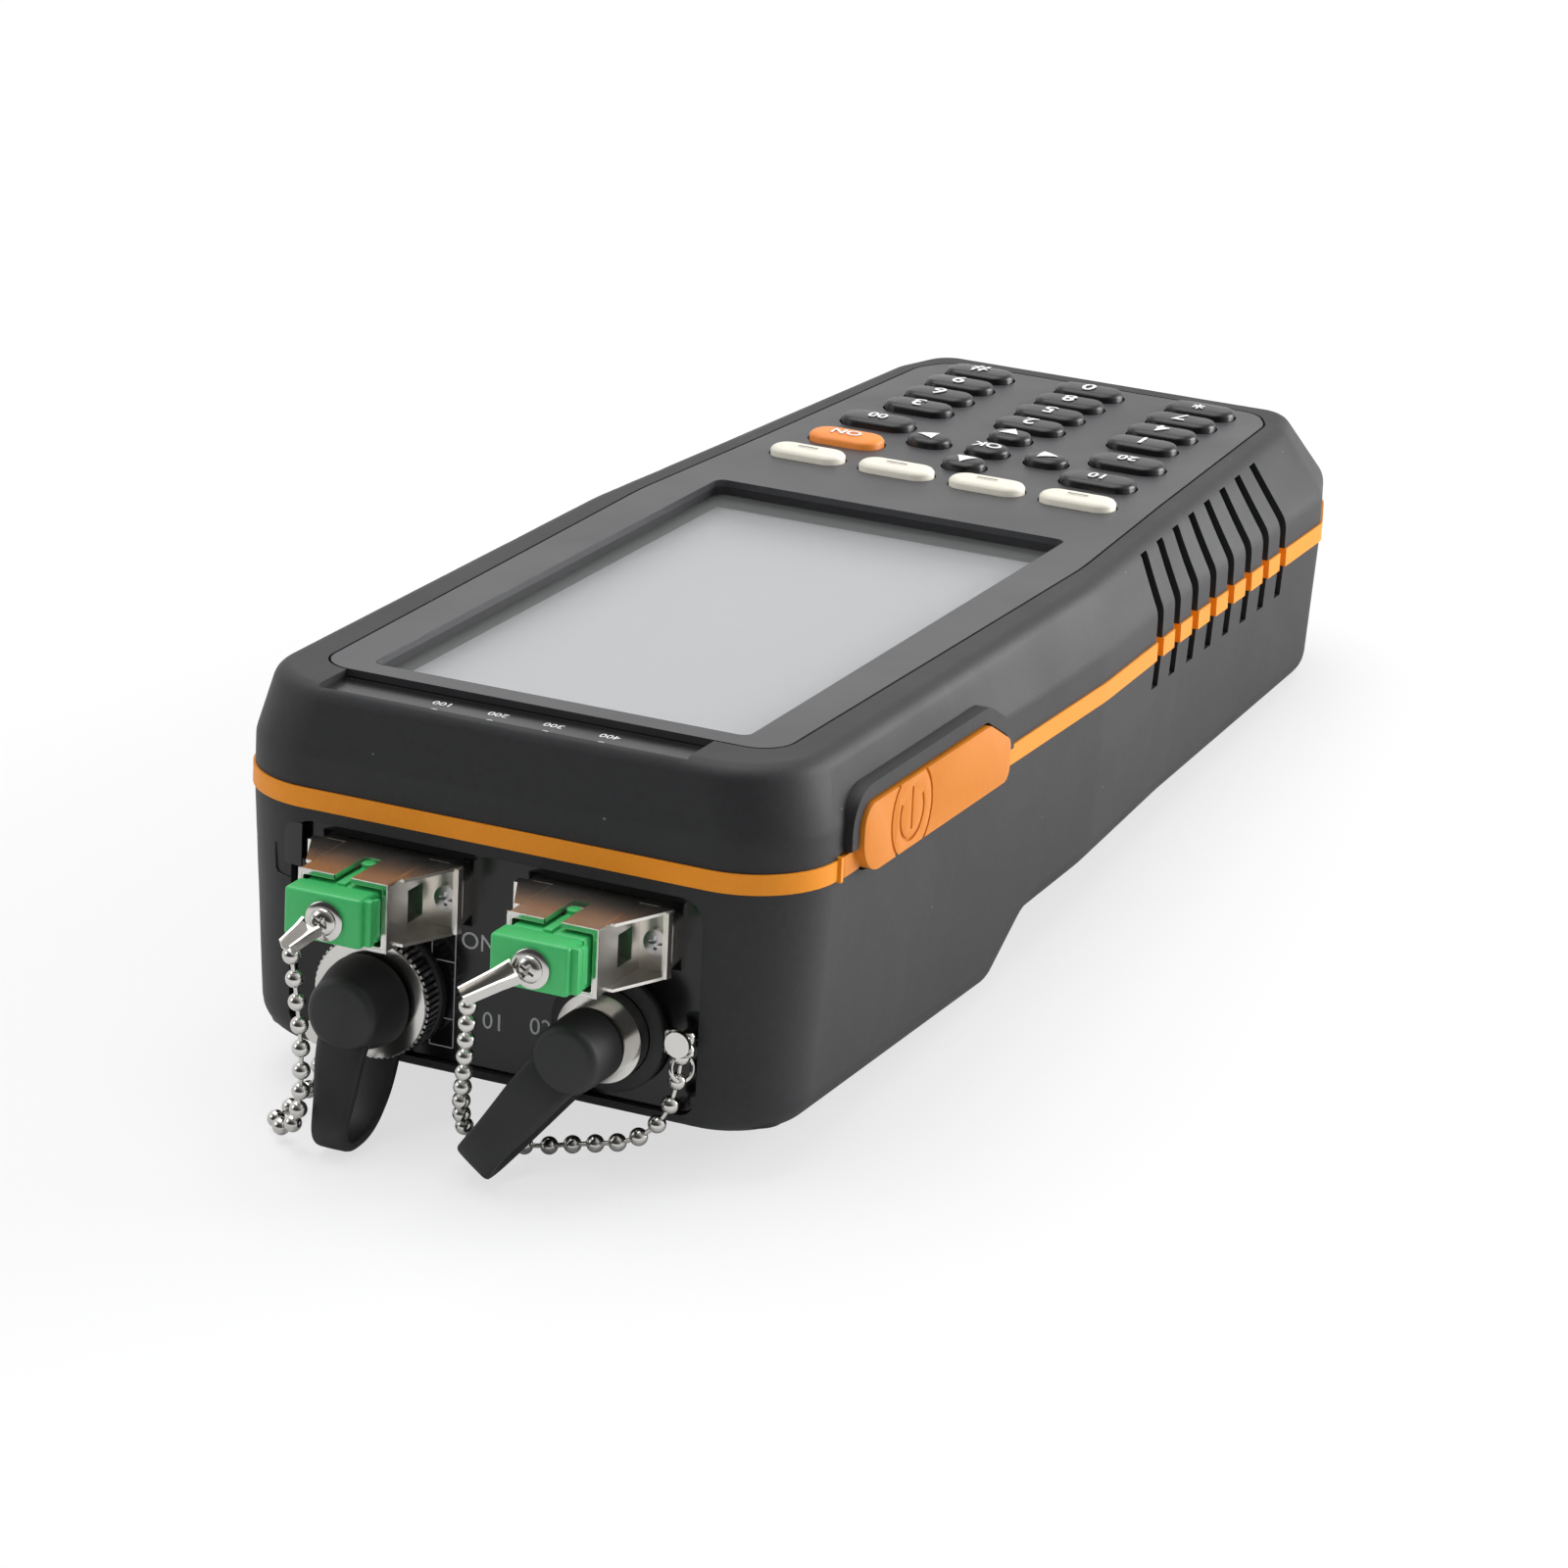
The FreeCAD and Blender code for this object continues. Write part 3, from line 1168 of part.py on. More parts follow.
METER_RUN = [(-10.9, 5.3), (-12.4, 10.7), (-14.0, 15.6), (-11.6, 17.7),
             (-5.8, 17.0), (-1.5, 12.8), (-0.2, 8.4)]
FAULT_RUN = [(-11.5, 5.2), (-12.6, 12.0), (-13.4, 18.6), (-10.6, 21.2),
             (-7.4, 19.0), (-2.6, 12.2), (0.7, 7.4)]
make_strap("meter_strap", number(METER_SIDE), mm("meter_drop"), 0.0, METER_RUN, mm("meter_barrel"))
make_strap("fault_strap", number(FAULT_SIDE), mm("fault_drop"), mm("fault_strap_tilt"), FAULT_RUN,
           mm("fault_flange"))

# Each chain's route is given where it lies, in the model's own frame.
CHAIN_LEFT = [
    (-18.5, -110.2, 30.3), (-18.3, -109.0, 21.7), (-18.8, -107.9, 11.6), (-21.6, -105.2, 2.8),
    (-27.2, -102.4, 1.4), (-26.4, -96.6, 1.6), (-24.7, -93.2, 4.6), (-24.4, -92.4, 9.4),
]
CHAIN_RIGHT = [
    (7.0, -111.1, 29.0), (4.4, -107.2, 19.0), (0.4, -101.8, 8.4), (-0.6, -97.0, 2.4), (6.0, -94.0, 1.5),
    (14.2, -93.6, 3.6), (20.8, -94.0, 5.4), (25.0, -93.6, 9.0), (26.8, -92.8, 13.7), (27.1, -92.2, 18.1),
]


def make_chain(node, points):
    """A ball chain as a plain tube along its route."""
    wire, radii = smooth_path(points)
    start, ahead = Vector(*points[0]), Vector(*points[1]) - Vector(*points[0])
    section = Part.Wire(Part.Circle(start, ahead, mm("chain_dia") / 2).toShape())
    tube = wire.makePipeShell([section], True, False)
    expected = math.pi * (mm("chain_dia") / 2) ** 2 * wire.Length
    print(node, "radii", [round(radius, 1) for radius in radii], "length", round(wire.Length, 1),
          "volume share", round(tube.Volume / expected, 4))
    subpart(made(tube), node, laid=False)


make_chain("plug_chain_left", CHAIN_LEFT)
make_chain("plug_chain_right", CHAIN_RIGHT)


def anchor_post(side, drop):
    """A short headed post on the end plate that a chain's coupling hooks on."""
    return fuse(rod("post_dia", (side, "-post_reach", drop), "plate_recess + post_reach", "+Y"),
                rod("post_head", (side, "-post_reach", drop), "post_head_thick", "-Y"))


subpart(group(anchor_post(f"{PLATE_RIGHT} - post_inset_right", "-post_drop_right"),
              anchor_post(f"post_inset_left - {PLATE_LEFT}", "-post_drop_left")), "chain_anchor")

# ---------------------------------------------------------------- flap and sockets

flap = flap_prism(0, FLAP_INSIDE, FLAP_INSIDE + mm("flap_thick"))
neck = box((HINGE_SIDE - mm("neck_thick") / 2, HINGE_SIDE + mm("neck_thick") / 2),
           (mm("flap_hinge"), mm("flap_near") + 1.5), (-BAND_BOTTOM - 0.1, -mm("band_top") + 0.1))
barrel = pin(mm("neck_thick"), (HINGE_SIDE, mm("flap_hinge"), -BAND_BOTTOM - 0.1), (0, 0, 1),
             mm("band_height") + 0.2)
subpart(made(flap.fuse([neck, barrel])), "port_flap")

SOCKET_FACE = f"({FLAP_INSIDE} - socket_sunk)"
usb = cut(block((f"{SOCKET_FACE} - usb_deep", "usb_place - usb_wide / 2", "-socket_drop - usb_high / 2"),
                (SOCKET_FACE, "usb_place + usb_wide / 2", "-socket_drop + usb_high / 2")),
          block((f"{SOCKET_FACE} - usb_deep + 2", "usb_place - usb_wide / 2 + usb_wall",
                 "-socket_drop - usb_high / 2 + usb_wall"),
                (f"{SOCKET_FACE} + 1", "usb_place + usb_wide / 2 - usb_wall",
                 "-socket_drop + usb_high / 2 - usb_wall")))
tongue = block((f"{SOCKET_FACE} - usb_deep + 1", "usb_place - usb_wide / 2 + 1", "-socket_drop + 0.2"),
               (f"{SOCKET_FACE} - 1", "usb_place + usb_wide / 2 - 1", "-socket_drop + 1.8"))
UNDER_BOARD = "-(board_depth + board_thick + fit_gap)"
leg = block((f"{SOCKET_FACE} - usb_deep", "usb_place - usb_wide / 2",
             "-socket_drop + usb_high / 2 - usb_wall / 2"),
            (f"{SOCKET_FACE} - usb_deep / 2", "usb_place + usb_wide / 2", UNDER_BOARD))
subpart(fuse(usb, tongue, leg), "usb_socket")

jack = fuse(block((f"{SOCKET_FACE} - 3 - dc_deep", "dc_place - dc_wide / 2",
                   "-socket_drop - dc_wide / 2 + 0.6"),
                  (f"{SOCKET_FACE} - 3", "dc_place + dc_wide / 2", UNDER_BOARD)),
            rod("dc_bore + 2 * dc_wall", (f"{SOCKET_FACE} - 4", "dc_place", "-socket_drop"), "4", "+X"))
hollow = cut(rod("dc_bore", (f"{SOCKET_FACE} - dc_deep", "dc_place", "-socket_drop"), "dc_deep + 1", "+X"),
             rod("dc_pin", (f"{SOCKET_FACE} - dc_deep", "dc_place", "-socket_drop"), "dc_deep - 1", "+X"))
subpart(cut(jack, hollow), "dc_jack")

# ---------------------------------------------------------------- placing, checking and writing

doc.recompute()
for obj, laid in SUBPARTS:
    if laid:
        for name, _ in list(obj.ExpressionEngine):
            if name.startswith("Placement"):
                obj.setExpression(name, None)
        obj.Placement = LAID.multiply(obj.Placement)
doc.recompute()

broken = [obj.Label for obj in doc.Objects if "Invalid" in obj.State or "Error" in obj.State]
if broken:
    raise RuntimeError(f"these did not compute: {broken}")
labels = [obj.Label for obj, _ in SUBPARTS]
if len(set(labels)) != len(labels):
    raise RuntimeError("two nodes share a name")
for obj, _ in SUBPARTS:
    if obj.Shape.isNull() or not obj.Shape.isValid() or not obj.Shape.Solids:
        raise RuntimeError(f"{obj.Label} is not a valid solid")
for obj, _ in SUBPARTS:
    obj.Shape.exportStep(f"parts/{obj.Label}.step")
print(len(SUBPARTS), "nodes written")
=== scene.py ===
import json
import math

import bmesh
import bpy
import numpy as np
from mathutils import Matrix, Vector
from mathutils.kdtree import KDTree

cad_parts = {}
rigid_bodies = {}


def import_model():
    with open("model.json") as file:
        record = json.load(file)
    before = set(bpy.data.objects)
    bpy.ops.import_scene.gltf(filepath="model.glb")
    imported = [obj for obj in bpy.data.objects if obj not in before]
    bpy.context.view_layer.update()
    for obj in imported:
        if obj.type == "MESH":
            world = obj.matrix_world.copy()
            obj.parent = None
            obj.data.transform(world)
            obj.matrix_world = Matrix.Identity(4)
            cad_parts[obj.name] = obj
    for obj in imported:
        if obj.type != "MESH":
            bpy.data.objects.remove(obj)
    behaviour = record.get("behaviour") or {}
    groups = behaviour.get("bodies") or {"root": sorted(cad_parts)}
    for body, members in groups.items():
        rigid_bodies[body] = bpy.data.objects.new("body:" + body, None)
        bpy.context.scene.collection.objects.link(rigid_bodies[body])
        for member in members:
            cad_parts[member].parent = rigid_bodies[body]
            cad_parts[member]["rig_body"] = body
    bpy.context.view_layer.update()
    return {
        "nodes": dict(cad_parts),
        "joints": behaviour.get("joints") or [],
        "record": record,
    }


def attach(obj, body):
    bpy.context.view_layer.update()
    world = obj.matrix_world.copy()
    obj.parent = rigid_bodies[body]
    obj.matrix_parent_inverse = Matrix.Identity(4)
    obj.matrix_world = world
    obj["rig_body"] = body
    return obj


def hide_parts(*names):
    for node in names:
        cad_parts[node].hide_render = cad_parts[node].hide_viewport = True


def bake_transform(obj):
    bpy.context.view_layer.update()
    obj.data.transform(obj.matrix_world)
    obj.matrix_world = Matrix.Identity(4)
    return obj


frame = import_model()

# ---------------------------------------------------------------- the case's own axes
# X runs across the face, Y from the ports to the grip, Z up out of the keys, in millimetres.
# The belly mount and the flap's hinge say how the case lies in the row frame.

SWING = next(j for j in frame["joints"] if j["name"] == "flap_swing")
LEAN_SIN, LEAN_COS = -SWING["axis"][1], -SWING["axis"][2]
BELLY = Vector((0.0, 38.0, -49.5))
BELLY_PLACE = Vector(frame["record"]["mounts"][0]["pos_m"])
MM = 0.001
LAY_TURN = Matrix(((1, 0, 0, 0), (0, LEAN_COS, LEAN_SIN, 0), (0, -LEAN_SIN, LEAN_COS, 0), (0, 0, 0, 1)))
LAY = Matrix.Translation(BELLY_PLACE) @ LAY_TURN @ Matrix.Scale(MM, 4) @ Matrix.Translation(-BELLY)
UNLAY = LAY.inverted()


def at(x, y, z):
    """A case point in the row frame, in metres."""
    return LAY @ Vector((x, y, z))


def case_box(node):
    """Lowest and highest corners of a CAD node in case axes."""
    points = np.array([UNLAY @ v.co for v in frame["nodes"][node].data.vertices])
    return Vector(points.min(0)), Vector(points.max(0))


def centre_of(node):
    """The middle of a CAD node's box in case axes."""
    low, high = case_box(node)
    return (low + high) / 2


def tint(red, green, blue):
    """A colour given by its 0 to 255 screen values."""
    return tuple((c / 255 / 12.92) if c <= 10 else ((c / 255 + 0.055) / 1.055) ** 2.4
                 for c in (red, green, blue)) + (1.0,)


# ---------------------------------------------------------------- camera, floor and light

# The camera's own directions and its place, in case axes.
CAMERA_RIGHT = Vector((0.901530, 0.430333, 0.045352))
CAMERA_UP = Vector((-0.178281, 0.273892, 0.945092))
CAMERA_BACK = Vector((0.394283, -0.860114, 0.323642))
CAMERA_PLACE = (352.814, -685.227, 257.753)
LENS = 148.5
SENSOR = 36.0

scene = bpy.context.scene
scene.view_settings.view_transform = "Standard"
camera_data = bpy.data.cameras.new("camera")
camera_data.lens = LENS
camera_data.sensor_width = SENSOR
camera_data.clip_start = 0.01
camera = bpy.data.objects.new("camera", camera_data)
columns = [LAY_TURN.to_3x3() @ v for v in (CAMERA_RIGHT, CAMERA_UP, CAMERA_BACK)]
camera.matrix_world = Matrix.Translation(at(*CAMERA_PLACE)) @ Matrix(columns).transposed().to_4x4()
scene.collection.objects.link(camera)
scene.camera = camera


def lamp(name, place, aim, size, power):
    """A soft square lamp; place, aim and size are in metres in the row frame, power is in watts."""
    data = bpy.data.lights.new(name, "AREA")
    data.shape = "SQUARE"
    data.size = size
    data.energy = power
    made = bpy.data.objects.new(name, data)
    made.location = place
    made.rotation_euler = (Vector(aim) - Vector(place)).to_track_quat("-Z", "Y").to_euler()
    scene.collection.objects.link(made)


lamp("soft_box_above", (-0.25, 0.15, 1.15), (0, 0, 0), 1.1, 10.0)
lamp("soft_box_right", (0.92, 0.8, 0.3), (0, 0, 0.02), 0.8, 19.0)
lamp("soft_box_left", (-0.9, -0.6, 0.5), (0, 0, 0.02), 0.6, 1.6)

world = bpy.data.worlds.new("studio")
scene.world = world
world.use_nodes = True
sky = world.node_tree
sky.nodes.clear()


def add(tree, kind, **settings):
    """A node with its settings; a key that the node doesn't have itself names one of its inputs."""
    node = tree.nodes.new(kind)
    for key, value in settings.items():
        if hasattr(node, key):
            setattr(node, key, value)
        else:
            node.inputs[key.replace("_", " ")].default_value = value
    return node


def arithmetic(tree, operation, *terms):
    """The result of one operation on numbers and other nodes' outputs."""
    node = add(tree, "ShaderNodeMath", operation=operation)
    for socket, term in zip(node.inputs, terms):
        if isinstance(term, bpy.types.NodeSocket):
            tree.links.new(term, socket)
        else:
            socket.default_value = term
    return node.outputs[0]


def join(tree, *pairs):
    """Links outputs to inputs."""
    for source, target in pairs:
        tree.links.new(source, target)


# The camera, and what polished parts mirror, see a white room; everything else is lit by a dimmer one.
# Polished metal sees a darker room toward the ports, as a studio has behind its camera.
sky_rays = add(sky, "ShaderNodeLightPath").outputs
sky_place = add(sky, "ShaderNodeTexCoord")
sky_axes = add(sky, "ShaderNodeSeparateXYZ")
sky_fall = add(sky, "ShaderNodeMapRange", interpolation_type="SMOOTHSTEP",
               From_Min=-0.9, From_Max=0.3, To_Min=0.05, To_Max=1.0)
shown = add(sky, "ShaderNodeBackground", Color=(1, 1, 1, 1))
lit = add(sky, "ShaderNodeBackground", Color=(0.97, 0.985, 1, 1), Strength=0.42)
both = add(sky, "ShaderNodeMixShader")
sky_out = add(sky, "ShaderNodeOutputWorld")
lightness = arithmetic(sky, "MAXIMUM", sky_rays["Is Camera Ray"], sky_fall.outputs[0])
seen = arithmetic(sky, "MAXIMUM", sky_rays["Is Camera Ray"], sky_rays["Is Glossy Ray"])
seen = arithmetic(sky, "MAXIMUM", seen, sky_rays["Is Transmission Ray"])
join(sky, (sky_place.outputs["Generated"], sky_axes.inputs[0]),
     (sky_axes.outputs["Y"], sky_fall.inputs["Value"]), (lightness, shown.inputs["Strength"]),
     (seen, both.inputs[0]), (lit.outputs[0], both.inputs[1]),
     (shown.outputs[0], both.inputs[2]), (both.outputs[0], sky_out.inputs["Surface"]))

# ---------------------------------------------------------------- effects shared by the materials


def effect(name, numbers, results):
    """An empty shader group with a place and named numbers in, and named results out."""
    tree = bpy.data.node_groups.new(name, "ShaderNodeTree")
    tree.interface.new_socket("Place", in_out="INPUT", socket_type="NodeSocketVector")
    for key, value in numbers.items():
        socket = tree.interface.new_socket(key, in_out="INPUT", socket_type="NodeSocketFloat")
        socket.default_value = value
    for key in results:
        tree.interface.new_socket(key, in_out="OUTPUT", socket_type="NodeSocketFloat")
    return tree, add(tree, "NodeGroupInput"), add(tree, "NodeGroupOutput")


def fine_grain_effect():
    """The spark texture of a moulded wall: its height, and how light each fleck is."""
    tree, given, out = effect("fine_grain", {"Size": 0.0005}, ["Height", "Fleck"])
    rate = arithmetic(tree, "DIVIDE", 1.0, given.outputs["Size"])
    coarse_rate = arithmetic(tree, "MULTIPLY", rate, 0.45)
    fine = add(tree, "ShaderNodeTexNoise", noise_dimensions="3D", Detail=3.0, Roughness=0.6)
    coarse = add(tree, "ShaderNodeTexNoise", noise_dimensions="3D", Detail=2.0, Roughness=0.7)
    join(tree, (rate, fine.inputs["Scale"]), (given.outputs["Place"], fine.inputs["Vector"]),
         (coarse_rate, coarse.inputs["Scale"]), (given.outputs["Place"], coarse.inputs["Vector"]),
         (fine.outputs[0], out.inputs["Height"]), (coarse.outputs[0], out.inputs["Fleck"]))
    return tree


def handling_effect():
    """What hands and air leave on a surface: broad smudges and a few specks of dust."""
    tree, given, out = effect("handling", {"Size": 0.03, "Dust": 0.3}, ["Smudge", "Specks"])
    rate = arithmetic(tree, "DIVIDE", 1.0, given.outputs["Size"])
    broad = add(tree, "ShaderNodeTexNoise", noise_dimensions="3D", Detail=4.0, Roughness=0.55, Distortion=0.4)
    shaped = add(tree, "ShaderNodeMapRange", From_Min=0.35, From_Max=0.7)
    cells = add(tree, "ShaderNodeTexVoronoi", feature="F1", Scale=420.0)
    parts = add(tree, "ShaderNodeSeparateColor")
    near = arithmetic(tree, "LESS_THAN", cells.outputs["Distance"], 0.075)
    rare = arithmetic(tree, "GREATER_THAN", parts.outputs[0], 0.965)
    share = arithmetic(tree, "MULTIPLY", arithmetic(tree, "MULTIPLY", near, rare), given.outputs["Dust"])
    join(tree, (rate, broad.inputs["Scale"]), (given.outputs["Place"], broad.inputs["Vector"]),
         (broad.outputs[0], shaped.inputs["Value"]), (given.outputs["Place"], cells.inputs["Vector"]),
         (cells.outputs["Color"], parts.inputs[0]), (shaped.outputs[0], out.inputs["Smudge"]),
         (share, out.inputs["Specks"]))
    return tree


FINE_GRAIN = fine_grain_effect()
HANDLING = handling_effect()


DUST_TONE = tint(112, 112, 110)


def finish_of(name, colour, rough, metal=0.0, grain=0.0005, depth=0.00001, fleck=0.12, smudge=0.06,
              dust=0.0, clear=1.0, gleam=0.5):
    """A material: a colour broken by its grain, a roughness broken by handling, and the grain's relief.

    grain is the size of the flecks and depth the height of the relief, both in metres.
    """
    material = bpy.data.materials.new(name)
    material.use_nodes = True
    tree = material.node_tree
    surface = tree.nodes["Principled BSDF"]
    place = add(tree, "ShaderNodeTexCoord")
    grains = add(tree, "ShaderNodeGroup", node_tree=FINE_GRAIN)
    grains.inputs["Size"].default_value = grain
    marks = add(tree, "ShaderNodeGroup", node_tree=HANDLING)
    marks.inputs["Dust"].default_value = dust
    toned = add(tree, "ShaderNodeMix", data_type="RGBA")
    toned.inputs[6].default_value = tuple(c * (1 - fleck) for c in colour[:3]) + (1,)
    toned.inputs[7].default_value = tuple(min(1.0, c * (1 + fleck)) for c in colour[:3]) + (1,)
    dusted = add(tree, "ShaderNodeMix", data_type="RGBA")
    dusted.inputs[7].default_value = DUST_TONE
    roughness = add(tree, "ShaderNodeMapRange", To_Min=rough - smudge, To_Max=rough + smudge)
    relief = add(tree, "ShaderNodeBump", Distance=depth, Strength=1.0)
    join(tree, (place.outputs["Object"], grains.inputs["Place"]),
         (place.outputs["Object"], marks.inputs["Place"]),
         (grains.outputs["Fleck"], toned.inputs[0]), (toned.outputs[2], dusted.inputs[6]),
         (marks.outputs["Specks"], dusted.inputs[0]), (dusted.outputs[2], surface.inputs["Base Color"]),
         (marks.outputs["Smudge"], roughness.inputs["Value"]),
         (roughness.outputs[0], surface.inputs["Roughness"]),
         (grains.outputs["Height"], relief.inputs["Height"]), (relief.outputs[0], surface.inputs["Normal"]))
    surface.inputs["Metallic"].default_value = metal
    surface.inputs["Specular IOR Level"].default_value = gleam
    surface.inputs["Alpha"].default_value = clear
    return material


HOUSING = finish_of("spark_textured_black", tint(38, 38, 40), 0.56, grain=0.00055, depth=18e-6, fleck=0.22,
                    smudge=0.05, dust=0.8, gleam=0.35)
ORANGE = finish_of("matte_orange_rubber", tint(232, 142, 24), 0.52, depth=6e-6, fleck=0.06, gleam=0.3)
ORANGE_FLAP = finish_of("bright_orange_rubber", tint(208, 122, 18), 0.5, depth=6e-6, fleck=0.05, gleam=0.3)
PANEL = finish_of("dark_grey_film", tint(58, 58, 60), 0.42, grain=0.0004, depth=6e-6, fleck=0.1, dust=0.3)
GLOSS_BLACK = finish_of("gloss_black_plate", tint(13, 13, 14), 0.14, depth=8e-7, fleck=0.1, smudge=0.04,
                        dust=0.3, gleam=0.4)
# The light window's own satin black; the same material also darkens the strap notch as painted shade of a
# recess.
BLACK_TRAY_AND_NOTCH_SHADE = finish_of("satin_black_window_and_painted_shade", tint(24, 24, 25), 0.25, depth=1e-6, fleck=0.1, smudge=0.05)
SCREEN_GREY = finish_of("unlit_screen", tint(158, 159, 161), 0.3, grain=0.0011, depth=0.0, fleck=0.01,
                        smudge=0.01)
SCREEN_FRAME = finish_of("screen_frame_black", tint(16, 16, 17), 0.5)
CLEAR = finish_of("clear_window", (0.9, 0.92, 0.92, 1), 0.08, depth=0.0, smudge=0.0, clear=0.1)
BOARD_GREEN = finish_of("solder_mask", (0.03, 0.16, 0.08, 1), 0.4)
MODULE = finish_of("blasted_aluminium", (0.7, 0.71, 0.72, 1), 0.45, metal=1.0)
BATTERY = finish_of("battery_wrap", (0.08, 0.1, 0.16, 1), 0.4)
MAT_RUBBER = finish_of("keypad_silicone", (0.12, 0.12, 0.13, 1), 0.7)
NICKEL = finish_of("adapter_nickel", (0.78, 0.75, 0.7, 1), 0.3, metal=1.0, depth=2e-6, fleck=0.05)
BRIGHT_NICKEL = finish_of("bright_nickel", (0.6, 0.585, 0.56, 1), 0.14, metal=1.0, depth=6e-7, fleck=0.04,
                          smudge=0.05)
STEEL = finish_of("screw_steel", (0.66, 0.66, 0.67, 1), 0.24, metal=1.0, depth=2e-6, fleck=0.06)
# Near-black metal for the knurled ring's core, which shows between the teeth: painted shade in the knurl's
# grooves.
KNURL_GROOVE_SHADE = finish_of("knurl_groove_painted_shade", (0.04, 0.04, 0.042, 1), 0.4, metal=0.8, depth=2e-6)
GREEN = finish_of("moulded_green", tint(62, 186, 104), 0.38, depth=4e-6, fleck=0.05)
RUBBER = finish_of("cap_rubber", tint(33, 33, 34), 0.55, grain=0.0007, depth=8e-6, dust=0.5)
SOCKET_BLACK = finish_of("socket_black", tint(30, 30, 31), 0.5)
CREAM = finish_of("cream_key", tint(232, 227, 212), 0.42, depth=4e-6, fleck=0.03)
ORANGE_KEY = finish_of("orange_key", tint(238, 138, 48), 0.42, depth=4e-6, fleck=0.04)
BLACK_KEY = finish_of("black_key", tint(20, 20, 21), 0.28, depth=2e-6, fleck=0.1, gleam=0.4)
WHITE_INK = finish_of("white_ink", tint(232, 232, 234), 0.5, fleck=0.03)
DARK_INK = finish_of("dark_ink", tint(92, 92, 96), 0.5, fleck=0.03)
FAINT_INK = finish_of("faint_white_ink", tint(176, 176, 178), 0.5, fleck=0.05)
PIPE = finish_of("light_pipe", tint(188, 196, 190), 0.25, fleck=0.03)
FLOOR = finish_of("pale_floor", (0.86, 0.86, 0.86, 1), 0.75, grain=0.02, depth=0.0, fleck=0.004, smudge=0.02)

# The floor glows a little where the camera sees it, and fades to plain white with distance.
FLOOR_SPAN = 6.0
FLOOR_GLOW = 0.66
floor_tree = FLOOR.node_tree
floor_rays = add(floor_tree, "ShaderNodeLightPath").outputs
floor_place = add(floor_tree, "ShaderNodeTexCoord")
floor_reach = add(floor_tree, "ShaderNodeVectorMath", operation="LENGTH")
floor_fade = add(floor_tree, "ShaderNodeMapRange", interpolation_type="SMOOTHSTEP",
                 From_Min=0.35, From_Max=1.5, To_Min=FLOOR_GLOW, To_Max=1.0)
floor_share = arithmetic(floor_tree, "MULTIPLY", floor_rays["Is Camera Ray"], floor_fade.outputs[0])
floor_white = add(floor_tree, "ShaderNodeEmission")
floor_mix = add(floor_tree, "ShaderNodeMixShader")
join(floor_tree, (floor_place.outputs["Object"], floor_reach.inputs[0]),
     (floor_reach.outputs["Value"], floor_fade.inputs["Value"]), (floor_share, floor_mix.inputs[0]),
     (floor_tree.nodes["Principled BSDF"].outputs[0], floor_mix.inputs[1]),
     (floor_white.outputs[0], floor_mix.inputs[2]),
     (floor_mix.outputs[0], floor_tree.nodes["Material Output"].inputs["Surface"]))

floor_mesh = bpy.data.meshes.new("floor")
floor_mesh.from_pydata([(x * FLOOR_SPAN, y * FLOOR_SPAN, 0) for x, y in ((-1, -1), (1, -1), (1, 1), (-1, 1))],
                       [], [(0, 1, 2, 3)])
floor_mesh.materials.append(FLOOR)
floor = bpy.data.objects.new("floor", floor_mesh)
scene.collection.objects.link(floor)

# ---------------------------------------------------------------- making pieces


class Form:
    """A mesh being made in case axes, in millimetres."""

    def __init__(self):
        self.bm = bmesh.new()

    def block(self, low, high, round_by=0.0, steps=2):
        """A box between two corners, with its edges rounded."""
        made = bmesh.ops.create_cube(self.bm, size=1.0)["verts"]
        size = [h - l for l, h in zip(low, high)]
        middle = [(h + l) / 2 for l, h in zip(low, high)]
        bmesh.ops.scale(self.bm, vec=size, verts=made)
        bmesh.ops.translate(self.bm, vec=middle, verts=made)
        if round_by:
            edges = list(dict.fromkeys(e for v in made for e in v.link_edges))
            bmesh.ops.bevel(self.bm, geom=edges, offset=round_by, segments=steps, profile=0.5, affect="EDGES")
        return self

    def turned(self, profile, centre, way, sides=64):
        """A turned part, from the centre along way: (distance, radius) pairs from one end to the other."""
        way = Vector(way).normalized()
        side = way.orthogonal().normalized()
        other = way.cross(side)
        rings = []
        for along, radius in profile:
            middle = Vector(centre) + way * along
            if radius < 1e-6:
                rings.append([self.bm.verts.new(middle)])
                continue
            rings.append([self.bm.verts.new(middle + (side * math.cos(a) + other * math.sin(a)) * radius)
                          for a in (2 * math.pi * i / sides for i in range(sides))])
        self.skin(rings)
        return self

    def skin(self, rings, closed=False):
        """Joins rings of equal length, or single points, and caps the ends."""
        following = rings[1:] + rings[:1] if closed else rings[1:]
        for first, second in zip(rings, following):
            count = max(len(first), len(second))
            for i in range(count):
                j = (i + 1) % count
                corners = [first[i % len(first)], first[j % len(first)], second[j % len(second)],
                           second[i % len(second)]]
                corners = [c for k, c in enumerate(corners) if c not in corners[:k]]
                if len(corners) > 2:
                    self.bm.faces.new(corners)
        if not closed:
            for ring, flip in ((rings[0], True), (rings[-1], False)):
                if len(ring) > 2:
                    self.bm.faces.new(list(reversed(ring)) if flip else ring)

    def stack(self, outlines):
        """Rings given as lists of points, skinned in order."""
        self.skin([[self.bm.verts.new(p) for p in outline] for outline in outlines])
        return self

    def take(self, mesh, matrix=None):
        """Adds another mesh that is already in case axes, or is brought there by the matrix."""
        before = set(self.bm.verts)
        self.bm.from_mesh(mesh)
        if matrix is not None:
            bmesh.ops.transform(self.bm, matrix=matrix, verts=[v for v in self.bm.verts if v not in before])
        return self

    def mesh(self, name, lay=True):
        """The finished mesh, laid in the row frame unless it is still to be worked on."""
        bmesh.ops.recalc_face_normals(self.bm, faces=self.bm.faces)
        if lay:
            bmesh.ops.transform(self.bm, matrix=LAY, verts=self.bm.verts)
        made = bpy.data.meshes.new(name)
        self.bm.to_mesh(made)
        self.bm.free()
        return made


